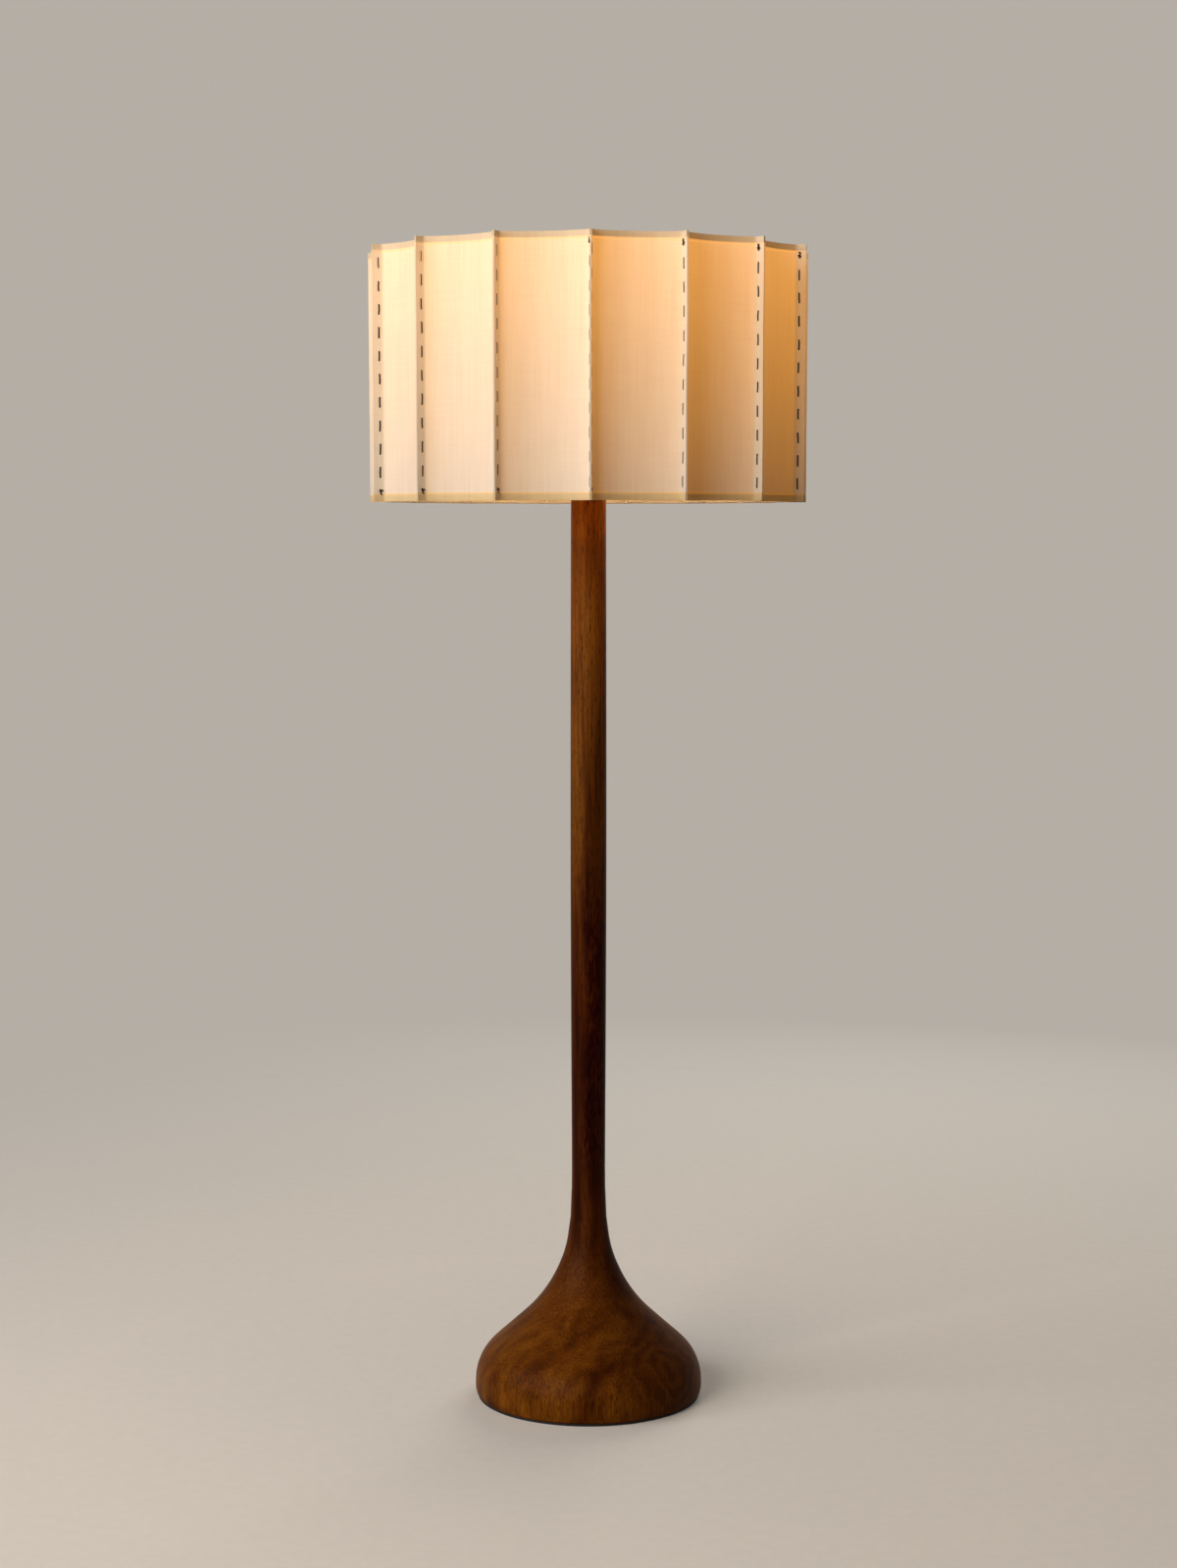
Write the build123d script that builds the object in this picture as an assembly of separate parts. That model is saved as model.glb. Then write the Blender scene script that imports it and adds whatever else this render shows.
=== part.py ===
from build123d import *

import os
from math import asin, atan2, cos, degrees, radians, sin, sqrt

# Floor lamp of turned walnut with a laced parchment shade. All sizes are in millimetres, +Z is up,
# the origin is the centre of the foot on the floor, and the front of the lamp looks along -Y.

# Overall
TOTAL_HEIGHT = 1500.0
POLE_TOP_Z = 1238.0
JOINT_Z = 232.0

# Turned base, iron weight and felt foot
PAD_RADIUS = 144.5
PAD_THICKNESS = 3.0
FOOT_RADIUS = 146.4
BELLY_RADIUS = 148.0
BELLY_Z = 17.0
BELLY = [(143.6, 43.0), (131.5, 63.5), (108.0, 85.0)]
FLARE = [(72.0, 117.5), (48.0, 150.0), (31.0, 188.0)]
JOINT_RADIUS = 23.6
RECESS_RADIUS = 95.0
RECESS_TOP_Z = 38.0
WEIGHT_SIDES = 8
WEIGHT_RADIUS = 92.0
WEIGHT_THICKNESS = 22.0
BORE_RADIUS = 5.3
TENON_RADIUS = 14.0
TENON_LENGTH = 25.0
SOCKET_ROOM = 1.0
WOOD_GAP = 0.1

# Cord outlet at the back of the base
OUTLET_Z = 12.0
OUTLET_RADIUS = 6.0
OUTLET_BORE_RADIUS = 4.0
OUTLET_FACE_Y = 148.0
OUTLET_TAIL = 18.0
CUT_PAST = 1.0

# Turned pole
POLE_NECK_RADIUS = 21.9
POLE_NECK_Z = 300.0
POLE_NECK_FLARE = 0.4
POLE_SWELL_RADIUS = 23.6
POLE_SWELL_Z = 730.0
POLE_TOP_RADIUS = 22.9

# Threaded pipe that clamps the stand, and its nut
PIPE_RADIUS = 4.95
PIPE_BORE_RADIUS = 3.5
PIPE_BOTTOM_Z = 7.0
PIPE_IN_HOLDER = 18.0
THREAD_GAP = 0.05
NUT_FLATS = 17.0
NUT_THICKNESS = 7.0

# Screw lampholder on the pole, with a shoulder and an outside thread for the shade's ring
HOLDER_RADIUS = 22.4
HOLDER_SHOULDER = 38.0
HOLDER_THREAD_RADIUS = 19.9
HOLDER_HEIGHT = 55.0
HOLDER_FLOOR = 28.0
SCREW_BORE_RADIUS = 13.9
CONTACT_THICKNESS = 0.6
CONTACT_RISE = 2.4
CONTACT_WIDTH = 5.0
CONTACT_FOOT = 11.0
CONTACT_BEND = 6.0
CONTACT_KNEE = 2.0
CONTACT_REACH = 3.0

# Bulb
BULB_TIP_GAP = 0.2
BULB_TIP_RADIUS = 4.8
BULB_TIP_HEIGHT = 2.4
BULB_THREAD_RADIUS = 13.3
BULB_CAP_HEIGHT = 27.0
BULB_RADIUS = 20.0
BULB_LENGTH = 112.0
BULB_EDGE = 3.0

# Shade: fifteen parchment panels on a strip-and-wire frame, a little narrower at the bottom
SEAMS = 15
SEAM_STEP = 360.0 / SEAMS
SHADE_TURN = 0.5
SHADE_HEIGHT = 330.0
SHADE_BOTTOM_Z = TOTAL_HEIGHT - SHADE_HEIGHT
TIP_RADIUS = 293.0
ROOT_RADIUS = 280.0
MIDDLE_RADIUS = 262.0
BOTTOM_RATIO = 0.9885
SHEET = 1.0
SEAM_GAP = 0.1

# Frame of the shade: a bent strip at each rim, a strut behind each seam, and three arms to a ring
STRIP_HEIGHT = 8.0
STRIP_THICKNESS = 1.5
STRIP_GAP = 0.3
STRIP_RUNS = 4
RIM_GAP = 1.0
STRUT_WIDTH = 4.0
STRUT_THICKNESS = 2.0
WELD = 0.1
RING_RADIUS = 28.0
RING_BORE_RADIUS = 20.2
RING_THICKNESS = 2.0
ARM_WIDTH = 6.0
ARM_SEAMS = (0, 5, 10)

# Shade nut
SHADE_NUT_RADIUS = 26.0
SHADE_NUT_SIDES = 12
SHADE_NUT_HEIGHT = 7.0
SHADE_NUT_GAP = 0.1

# Lacing of each seam: one thread that runs in and out through both flanges
LACE_WIDTH = 2.2
LACE_THICKNESS = 2.0
LACE_INSET = 8.3
LACE_GAP = 0.1
FIRST_HOLE = 17.0
STITCH = 14.9
HOLES = 21
TAIL = 6.0
STRAIGHT_ON = 0.1

# Levels that follow from the sizes above
WEIGHT_Z = RECESS_TOP_Z - WEIGHT_THICKNESS
RING_Z = POLE_TOP_Z + HOLDER_SHOULDER
HOLDER_FLOOR_Z = POLE_TOP_Z + HOLDER_FLOOR
BULB_Z = HOLDER_FLOOR_Z + CONTACT_RISE + BULB_TIP_GAP


class Scallop:
    """One panel's plan: two radial flanges joined by an arc that bows in towards the bulb.

    Local X runs out through the middle of the panel and the two seams stand half a step to each side.
    """

    def __init__(self, ratio):
        half = radians(SEAM_STEP / 2)
        self.along = (cos(half), sin(half))
        self.inward = (sin(half), -cos(half))
        self.tip = TIP_RADIUS * ratio
        self.root = self.on_seam(ROOT_RADIUS * ratio, SEAM_GAP + SHEET)
        middle = MIDDLE_RADIUS * ratio
        root_x, root_y = self.root
        self.centre = (root_x**2 + root_y**2 - middle**2) / (2 * (root_x - middle))
        self.radius = self.centre - middle

    def on_seam(self, distance, offset):
        """A point beside the seam: so far out from the axis, and so far in from the seam's plane."""
        x = distance * self.along[0] + offset * self.inward[0]
        y = distance * self.along[1] + offset * self.inward[1]
        return x, y

    def arc_end(self, depth, offset):
        """Where the arc that lies depth inside the panel's outer face meets a plane beside the seam."""
        across = offset - self.centre * self.inward[0]
        reach = self.centre * self.along[0] - sqrt((self.radius + depth) ** 2 - across**2)
        return self.on_seam(reach, offset)

    def sheet(self):
        """The plan of the whole sheet: flange, arc, flange."""
        tip_out = self.on_seam(self.tip, SEAM_GAP + SHEET)
        tip_in = self.on_seam(self.tip, SEAM_GAP)
        inner = self.arc_end(SHEET, SEAM_GAP)
        outside = ThreePointArc(self.root, (self.centre - self.radius, 0), mirrored(self.root))
        inside = ThreePointArc(inner, (self.centre - self.radius - SHEET, 0), mirrored(inner))
        flange = Polyline(self.root, tip_out, tip_in, inner)
        other = Polyline(*[mirrored(point) for point in (self.root, tip_out, tip_in, inner)])
        return make_face(Curve() + [outside, inside, flange, other])

    def strip_points(self, depth):
        """Corners of the bent strip behind the panel, at that depth, from one seam to the other."""
        end_x, end_y = self.arc_end(depth, 0)
        half = atan2(end_y, self.centre - end_x)
        reach = (self.radius + depth) / cos(half / STRIP_RUNS)
        turns = [half - 2 * half * run / STRIP_RUNS for run in range(1, STRIP_RUNS)]
        bends = [(self.centre - reach * cos(turn), reach * sin(turn)) for turn in turns]
        start = self.arc_end(reach - self.radius, 0)
        return [start, *bends, mirrored(start)]

    def seat(self, depth, width):
        """How far out a flat bar stands that is pressed into the corner of two strips at a seam."""
        start, bend = self.strip_points(depth)[:2]
        corner = sqrt(start[0] ** 2 + start[1] ** 2)
        bend_along = bend[0] * self.along[0] + bend[1] * self.along[1]
        bend_across = bend[0] * self.inward[0] + bend[1] * self.inward[1]
        return corner - (corner - bend_along) / bend_across * width / 2


def mirrored(point):
    """The same point across the panel's middle."""
    return point[0], -point[1]


TOP = Scallop(1.0)
BOTTOM = Scallop(BOTTOM_RATIO)
STRIP_DEPTH = SHEET + STRIP_GAP
STRIP_BACK = STRIP_DEPTH + STRIP_THICKNESS


def turned(outline):
    """A solid of revolution about the lamp's axis from a closed outline of radius and height."""
    return revolve(Plane.XZ * make_face(outline), Axis.Z)


def cylinder(radius, low, high):
    """A plain round bar on the lamp's axis."""
    return extrude(Pos(0, 0, low) * Circle(radius), high - low)


def tube(outer, inner, low, high):
    """A plain tube on the lamp's axis."""
    wall = Circle(outer) - Circle(inner)
    return extrude(Pos(0, 0, low) * wall, high - low)


def seam_angle(seam):
    """Direction of a seam in degrees, counted from the front towards the lamp's right."""
    return seam * SEAM_STEP + SHADE_TURN - 90


def at_seam(seam):
    """Turns local X to the direction of a seam."""
    return Rot(0, 0, seam_angle(seam))


def outlet_bar(radius, start, end):
    """A round bar along the cord outlet, between two distances behind the axis."""
    return extrude(Plane(origin=(0, start, OUTLET_Z), z_dir=(0, 1, 0)) * Circle(radius), end - start)


# Base and pole


def make_foot_pad():
    """Felt disc under the base."""
    return cylinder(PAD_RADIUS, 0, PAD_THICKNESS)


def make_base():
    """Trumpet-shaped turned base with its recess, its socket for the pole and the cord outlet."""
    foot = [(0, PAD_THICKNESS), (FOOT_RADIUS, PAD_THICKNESS), (BELLY_RADIUS, BELLY_Z)]
    neck = [(JOINT_RADIUS, JOINT_Z), (0, JOINT_Z)]
    body = turned(Polyline(*foot, *BELLY, *FLARE, *neck, close=True))
    body -= cylinder(RECESS_RADIUS, PAD_THICKNESS, RECESS_TOP_Z)
    body -= cylinder(BORE_RADIUS, RECESS_TOP_Z, JOINT_Z)
    body -= cylinder(TENON_RADIUS + WOOD_GAP, JOINT_Z - TENON_LENGTH - SOCKET_ROOM, JOINT_Z)
    return body - outlet_bar(OUTLET_RADIUS, RECESS_RADIUS - OUTLET_RADIUS, BELLY_RADIUS + CUT_PAST)


def make_base_weight():
    """Iron plate in the recess of the base."""
    blank = RegularPolygon(WEIGHT_RADIUS, WEIGHT_SIDES) - Circle(BORE_RADIUS)
    return extrude(Pos(0, 0, WEIGHT_Z) * blank, WEIGHT_THICKNESS)


def make_base_nut():
    """Hexagon nut at the lower end of the threaded pipe."""
    blank = RegularPolygon(NUT_FLATS / 2, 6, major_radius=False) - Circle(PIPE_RADIUS + THREAD_GAP)
    return extrude(Pos(0, 0, WEIGHT_Z - NUT_THICKNESS) * blank, NUT_THICKNESS)


def make_cord_bushing():
    """Rubber bushing in the cord outlet, with a bore for the cord."""
    start = OUTLET_FACE_Y - OUTLET_TAIL
    body = outlet_bar(OUTLET_RADIUS - WOOD_GAP, start, OUTLET_FACE_Y)
    return body - outlet_bar(OUTLET_BORE_RADIUS, start, OUTLET_FACE_Y)


def make_lamp_pipe():
    """Threaded pipe that clamps the whole stand and carries the wiring."""
    return tube(PIPE_RADIUS, PIPE_BORE_RADIUS, PIPE_BOTTOM_Z, POLE_TOP_Z + PIPE_IN_HOLDER)


def make_pole():
    """Slender turned pole: a tenon below, a faint swell at mid height and a bore right through."""
    shoulder = (JOINT_RADIUS, JOINT_Z)
    neck = (POLE_NECK_RADIUS, POLE_NECK_Z)
    top = (POLE_TOP_RADIUS, POLE_TOP_Z)
    tenon_z = JOINT_Z - TENON_LENGTH
    flare = ThreePointArc(shoulder, (POLE_NECK_RADIUS + POLE_NECK_FLARE, (JOINT_Z + POLE_NECK_Z) / 2), neck)
    shaft = ThreePointArc(neck, (POLE_SWELL_RADIUS, POLE_SWELL_Z), top)
    inner = Polyline(top, (BORE_RADIUS, POLE_TOP_Z), (BORE_RADIUS, tenon_z))
    tenon = Polyline(inner @ 1, (TENON_RADIUS, tenon_z), (TENON_RADIUS, JOINT_Z), shoulder)
    return turned(Curve() + [flare, shaft, inner, tenon])


# Lampholder and bulb


def make_lampholder():
    """Moulded screw lampholder: skirt, shoulder for the shade, threaded neck and screw bore."""
    bore = PIPE_RADIUS + THREAD_GAP
    rim_z = POLE_TOP_Z + HOLDER_HEIGHT
    skirt = [(bore, POLE_TOP_Z), (HOLDER_RADIUS, POLE_TOP_Z), (HOLDER_RADIUS, RING_Z)]
    neck = [(HOLDER_THREAD_RADIUS, RING_Z), (HOLDER_THREAD_RADIUS, rim_z), (SCREW_BORE_RADIUS, rim_z)]
    inside = [(SCREW_BORE_RADIUS, HOLDER_FLOOR_Z), (bore, HOLDER_FLOOR_Z)]
    return turned(Polyline(*skirt, *neck, *inside, close=True))


def make_centre_contact():
    """Sprung tongue under the bulb's tip, fixed beside the pipe's bore."""
    rise = CONTACT_RISE - CONTACT_THICKNESS
    under = [(-CONTACT_FOOT, 0), (-CONTACT_BEND, 0), (-CONTACT_KNEE, rise), (CONTACT_REACH, rise)]
    back = [(-CONTACT_BEND, CONTACT_THICKNESS), (-CONTACT_FOOT, CONTACT_THICKNESS)]
    above = [(CONTACT_REACH, CONTACT_RISE), (-CONTACT_KNEE, CONTACT_RISE), *back]
    side = make_face(Polyline(*under, *above, close=True))
    return Pos(0, 0, HOLDER_FLOOR_Z) * extrude(Plane.XZ * side, CONTACT_WIDTH / 2, both=True)


def make_bulb():
    """Frosted tubular bulb: centre tip, screw cap and glass."""
    cap_z = BULB_Z + BULB_TIP_HEIGHT
    glass_z = BULB_Z + BULB_CAP_HEIGHT
    top_z = BULB_Z + BULB_LENGTH
    tip = [(0, BULB_Z), (BULB_TIP_RADIUS, BULB_Z), (BULB_TIP_RADIUS, cap_z)]
    cap = [(BULB_THREAD_RADIUS, cap_z), (BULB_THREAD_RADIUS, glass_z)]
    glass = [(BULB_RADIUS, glass_z), (BULB_RADIUS, top_z - BULB_EDGE), (BULB_RADIUS - BULB_EDGE, top_z)]
    return turned(Polyline(*tip, *cap, *glass, (0, top_z), close=True))


# Shade


def make_shade_nut():
    """Twelve-sided nut that clamps the shade's ring on the lampholder."""
    blank = RegularPolygon(SHADE_NUT_RADIUS, SHADE_NUT_SIDES) - Circle(HOLDER_THREAD_RADIUS + THREAD_GAP)
    return extrude(Pos(0, 0, RING_Z + RING_THICKNESS + SHADE_NUT_GAP) * blank, SHADE_NUT_HEIGHT)


def make_panel(number):
    """One parchment panel: a leaning fluted sheet with a flange at each seam."""
    bottom = Pos(0, 0, SHADE_BOTTOM_Z) * BOTTOM.sheet()
    top = Pos(0, 0, TOTAL_HEIGHT) * TOP.sheet()
    return at_seam(number + 0.5) * loft([bottom, top], ruled=True)


def make_strip(plan, low):
    """Steel strip of the frame, bent to follow every panel, that stiffens a rim of the shade."""
    outlines = []
    for depth in (STRIP_DEPTH, STRIP_BACK):
        bends = [Vector(x, -y) for x, y in plan.strip_points(depth)[:-1]]
        turns = [seam_angle(number + 0.5) for number in range(SEAMS)]
        corners = [bend.rotate(Axis.Z, turn) for turn in turns for bend in bends]
        outlines.append(make_face(Polyline(*corners, close=True)))
    return extrude(Pos(0, 0, low) * (outlines[0] - outlines[1]), STRIP_HEIGHT)


def strut_reach(height):
    """How far out the outer face of the struts stands at a height."""
    share = (height - SHADE_BOTTOM_Z) / SHADE_HEIGHT
    low = BOTTOM.seat(STRIP_BACK, STRUT_WIDTH)
    high = TOP.seat(STRIP_BACK, STRUT_WIDTH)
    return low + (high - low) * share + WELD


def make_struts():
    """Fifteen upright flat wires, one behind each seam, welded into the corners of both strips."""
    low = SHADE_BOTTOM_Z + RIM_GAP
    high = TOTAL_HEIGHT - RIM_GAP
    near = [(strut_reach(low), low), (strut_reach(high), high)]
    far = [(x - STRUT_THICKNESS, z) for x, z in reversed(near)]
    strut = extrude(Plane.XZ * make_face(Polyline(*near, *far, close=True)), STRUT_WIDTH / 2, both=True)
    return Compound(children=[(at_seam(number) * strut).solid() for number in range(SEAMS)])


def make_spider():
    """Flat ring that sits on the lampholder's shoulder, with three arms out to three of the struts."""
    start = (RING_RADIUS + RING_BORE_RADIUS) / 2
    end = strut_reach(RING_Z) - STRUT_THICKNESS + WELD
    spider = tube(RING_RADIUS, RING_BORE_RADIUS, RING_Z, RING_Z + RING_THICKNESS)
    arm = Pos(start, 0, RING_Z) * Box(
        end - start, ARM_WIDTH, RING_THICKNESS, align=(Align.MIN, Align.CENTER, Align.MIN)
    )
    for seam in ARM_SEAMS:
        spider += at_seam(seam) * arm
    return spider


def lace_route():
    """Corners of the thread's centre line across one seam, from the upper end down to the lower one.

    Each corner is the distance to one side of the seam and the height.
    """
    side = SEAM_GAP + SHEET + LACE_THICKNESS / 2 + LACE_GAP
    corners = [(-side, TOTAL_HEIGHT - FIRST_HOLE + TAIL)]
    for hole in range(HOLES):
        height = TOTAL_HEIGHT - FIRST_HOLE - hole * STITCH
        start = -side if hole % 2 == 0 else side
        corners += [(start, height), (-start, height)]
    last_side, last_height = corners[-1]
    return corners + [(last_side, last_height - TAIL)]


def ribbon(route, width):
    """The closed outline of a band of that width along a route of square corners."""
    left = []
    right = []
    for index, (x, z) in enumerate(route):
        here = Vector(x, z)
        before = here - Vector(*route[index - 1]) if index else Vector(*route[1]) - here
        after = Vector(*route[index + 1]) - here if index < len(route) - 1 else before
        arriving = before.normalized()
        leaving = after.normalized()
        reach = Vector(-arriving.Y, arriving.X)
        if (arriving - leaving).length > STRAIGHT_ON:
            reach = reach + Vector(-leaving.Y, leaving.X)
        left.append(here + reach * (width / 2))
        right.append(here - reach * (width / 2))
    return make_face(Polyline(*left, *reversed(right), close=True))


def make_lacing(seam):
    """The thread of one seam, leaning inwards with it."""
    out = TIP_RADIUS - LACE_INSET
    across = Plane(origin=(out, 0, 0), x_dir=(0, 1, 0), z_dir=(1, 0, 0))
    thread = extrude(across * ribbon(lace_route(), LACE_THICKNESS), LACE_WIDTH / 2, both=True)
    lean = degrees(asin(TIP_RADIUS * (1 - BOTTOM_RATIO) / SHADE_HEIGHT))
    pivot = Pos(out, 0, TOTAL_HEIGHT)
    return at_seam(seam) * pivot * Rot(0, lean, 0) * pivot.inverse() * thread


def make_parts():
    """Every piece of the lamp by its node's name."""
    parts = {
        "foot_pad": make_foot_pad(),
        "base": make_base(),
        "base_weight": make_base_weight(),
        "base_nut": make_base_nut(),
        "cord_bushing": make_cord_bushing(),
        "lamp_pipe": make_lamp_pipe(),
        "pole": make_pole(),
        "lampholder": make_lampholder(),
        "centre_contact": make_centre_contact(),
        "bulb": make_bulb(),
        "shade_nut": make_shade_nut(),
        "shade_spider": make_spider(),
        "shade_top_strip": make_strip(TOP, TOTAL_HEIGHT - RIM_GAP - STRIP_HEIGHT),
        "shade_bottom_strip": make_strip(BOTTOM, SHADE_BOTTOM_Z + RIM_GAP),
        "shade_struts": make_struts(),
    }
    for number in range(SEAMS):
        parts[f"shade_panel_{number + 1:02d}"] = make_panel(number)
        parts[f"seam_lacing_{number + 1:02d}"] = make_lacing(number)
    return parts


os.makedirs("parts", exist_ok=True)
for name, shape in make_parts().items():
    export_step(shape, f"parts/{name}.step")
    print(name, round(shape.volume / 1000, 2), "cm3")
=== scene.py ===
"""Looks of a turned walnut floor lamp with a laced parchment shade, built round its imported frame.

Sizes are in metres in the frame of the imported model: +Z is up and the front of the lamp faces -Y.
"""

import logging
import math
import random
from collections.abc import Callable
from dataclasses import dataclass
from enum import Enum

import bmesh
import bpy
from mathutils import Matrix, Vector, noise


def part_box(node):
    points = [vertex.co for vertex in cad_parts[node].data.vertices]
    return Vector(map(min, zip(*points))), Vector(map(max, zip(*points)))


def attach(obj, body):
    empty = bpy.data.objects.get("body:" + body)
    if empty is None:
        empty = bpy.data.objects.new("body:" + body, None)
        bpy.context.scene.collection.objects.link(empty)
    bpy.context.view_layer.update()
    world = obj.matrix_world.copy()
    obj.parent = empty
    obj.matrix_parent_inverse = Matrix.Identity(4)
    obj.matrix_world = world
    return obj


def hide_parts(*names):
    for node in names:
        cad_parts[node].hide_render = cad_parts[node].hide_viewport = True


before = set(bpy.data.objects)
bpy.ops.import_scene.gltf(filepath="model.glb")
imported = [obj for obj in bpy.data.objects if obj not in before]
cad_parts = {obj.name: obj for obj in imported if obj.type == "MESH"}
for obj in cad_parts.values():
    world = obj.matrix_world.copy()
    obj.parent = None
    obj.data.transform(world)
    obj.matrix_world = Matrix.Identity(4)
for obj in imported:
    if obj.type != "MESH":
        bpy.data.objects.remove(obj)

LOG = logging.getLogger("lamp")
Triple = tuple[float, float, float]
Colour = Triple
Point = tuple[float, float]
Span = tuple[float, float]
Stop = tuple[float, Colour]
Face = tuple[int, ...]
Socket = bpy.types.NodeSocket
Input = bpy.types.NodeSocket | float | tuple[float, ...]

SEED = 15
SHARP = 32.0
EASE_SHARE = 0.45
ON_AXIS = 1e-7
WHITE: Colour = (1.0, 1.0, 1.0)
EVEN: Triple = (1.0, 1.0, 1.0)


class Body(Enum):
    """The bodies of the frame that the pieces ride on."""

    STAND = "stand"
    BULB = "bulb"
    SHADE_NUT = "shade_nut"
    SHADE = "shade"


class Rim(Enum):
    """The two hemmed rims of the shade."""

    TOP = "top"
    BOTTOM = "bottom"


@dataclass(frozen=True)
class Grain:
    """A smooth noise: blobs to a metre, how fast it runs along each axis, and levels of finer noise."""

    scale: float
    pace: Triple = EVEN
    detail: float = 2.0


class Graph:
    """The nodes of a material or of the world, and a short way to write them."""

    def __init__(self, owner: bpy.types.Material | bpy.types.World) -> None:
        """Start with no nodes.

        Args:
            owner: The material or the world.
        """
        owner.use_nodes = True
        self.owner = owner
        self.nodes = owner.node_tree.nodes
        self.links = owner.node_tree.links
        self.nodes.clear()

    def feed(self, socket: Socket, value: Input) -> None:
        """Link or set one input.

        Args:
            socket: The input.
            value: Another node's output, or a plain value.
        """
        if isinstance(value, bpy.types.NodeSocket):
            self.links.new(value, socket)
        elif socket.type == "RGBA" and len(value) == 3:
            socket.default_value = (*value, 1.0)
        else:
            socket.default_value = value

    def node(self, kind: str, inputs: dict[str | int, Input], **settings: object) -> bpy.types.Node:
        """Add a node.

        Args:
            kind: The node's type.
            inputs: Values or links by the input's name or number.
            **settings: The node's own settings.

        Returns:
            The new node.
        """
        made = self.nodes.new(kind)
        for name, value in settings.items():
            setattr(made, name, value)
        for name, value in inputs.items():
            self.feed(made.inputs[name], value)
        return made

    def object_place(self) -> Socket:
        """Place in the piece's own frame, in metres."""
        return self.node("ShaderNodeTexCoord", {}).outputs["Object"]

    def sheet_place(self) -> Socket:
        """Place on the flat sheet, in metres across and up."""
        return self.node("ShaderNodeTexCoord", {}).outputs["UV"]

    def marked(self, name: str) -> Socket:
        """A number that the mesh keeps at its points."""
        return self.node("ShaderNodeAttribute", {}, attribute_name=name).outputs["Fac"]

    def seen(self) -> Socket:
        """Above 0 for rays of the camera, of gloss and of glass."""
        rays = self.node("ShaderNodeLightPath", {}).outputs
        return self.sum(rays["Is Camera Ray"], rays["Is Glossy Ray"], rays["Is Transmission Ray"])

    def number(self, kind: str, *values: Input) -> Socket:
        """Reckon with numbers, by the name of an operation."""
        return self.node("ShaderNodeMath", dict(enumerate(values)), operation=kind).outputs[0]

    def vector(self, kind: str, *values: Input) -> Socket:
        """Reckon with places, by the name of an operation."""
        return self.node("ShaderNodeVectorMath", dict(enumerate(values)), operation=kind).outputs[0]

    def sum(self, first: Input, *others: Input) -> Socket:
        """Add numbers."""
        for other in others:
            first = self.number("ADD", first, other)
        return first

    def times(self, first: Input, *others: Input) -> Socket:
        """Multiply numbers."""
        for other in others:
            first = self.number("MULTIPLY", first, other)
        return first

    def length(self, place: Socket) -> Socket:
        """How far a place is from the origin."""
        return self.node("ShaderNodeVectorMath", {0: place}, operation="LENGTH").outputs["Value"]

    def axis(self, place: Socket, name: str) -> Socket:
        """One coordinate of a place."""
        return self.node("ShaderNodeSeparateXYZ", {0: place}).outputs[name]

    def turned(self, place: Socket, degrees: Triple, offset: Triple = (0.0, 0.0, 0.0)) -> Socket:
        """Turn a place about X, Y and Z, and shift it."""
        inputs = {"Vector": place, "Location": offset, "Rotation": tuple(map(math.radians, degrees))}
        return self.node("ShaderNodeMapping", inputs).outputs[0]

    def cloud(self, place: Socket, grain: Grain, output: str = "Fac") -> Socket:
        """Smooth noise.

        Args:
            place: The place.
            grain: Which noise.
            output: Fac for one number, or Color for three.

        Returns:
            The noise from 0 to 1.
        """
        run = self.vector("MULTIPLY", place, grain.pace)
        inputs = {"Vector": run, "Scale": grain.scale, "Detail": grain.detail}
        return self.node("ShaderNodeTexNoise", inputs).outputs[output]

    def drift(self, place: Socket, grain: Grain) -> Socket:
        """Three smooth noises about zero."""
        return self.vector("ADD", self.cloud(place, grain, "Color"), (-0.5, -0.5, -0.5))

    def bent(self, place: Socket, drift: Socket, reach: Triple) -> Socket:
        """Shift a place by a drift, with its own reach along each axis."""
        return self.vector("MULTIPLY_ADD", drift, reach, place)

    def span(self, value: Socket, low: float, high: float, start: float = 0.0, end: float = 1.0) -> Socket:
        """Map the range from low to high onto start to end, held at both ends."""
        inputs = {"Value": value, "From Min": low, "From Max": high, "To Min": start, "To Max": end}
        return self.node("ShaderNodeMapRange", inputs).outputs[0]

    def blend(self, share: Input, first: Input, second: Input, kind: str = "MIX") -> Socket:
        """Mix two colours, with the share of the second and the way of mixing."""
        inputs = {0: share, 6: first, 7: second}
        return self.node("ShaderNodeMix", inputs, data_type="RGBA", blend_type=kind).outputs[2]

    def tinted(self, colour: Input, tint: Input, share: Input = 1.0) -> Socket:
        """Multiply a colour by a tint, as far as the share says."""
        return self.blend(share, colour, tint, "MULTIPLY")

    def ramp(self, value: Socket, *stops: Stop) -> Socket:
        """Turn a number into a colour.

        Args:
            value: The number from 0 to 1.
            *stops: Places on the ramp with their colours, in order.

        Returns:
            The colour.
        """
        made = self.node("ShaderNodeValToRGB", {0: value})
        elements = made.color_ramp.elements
        elements.remove(elements[1])
        elements[0].position = stops[0][0]
        elements[0].color = (*stops[0][1], 1.0)
        for place, colour in stops[1:]:
            elements.new(place).color = (*colour, 1.0)
        return made.outputs[0]

    def relief(self, height: Socket, depth: float, strength: float) -> Socket:
        """A normal bumped by a relief from 0 to 1, whose 1 is the depth in metres."""
        inputs = {"Height": height, "Distance": depth, "Strength": strength}
        return self.node("ShaderNodeBump", inputs).outputs[0]

    def surface(self, **inputs: Input) -> bpy.types.Material:
        """Close the material with one principled shader.

        Args:
            **inputs: The shader's inputs, with _ for each space in a name.

        Returns:
            The finished material.
        """
        named = {name.replace("_", " "): value for name, value in inputs.items()}
        shader = self.node("ShaderNodeBsdfPrincipled", named)
        self.node("ShaderNodeOutputMaterial", {"Surface": shader.outputs[0]})
        return self.owner


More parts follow.
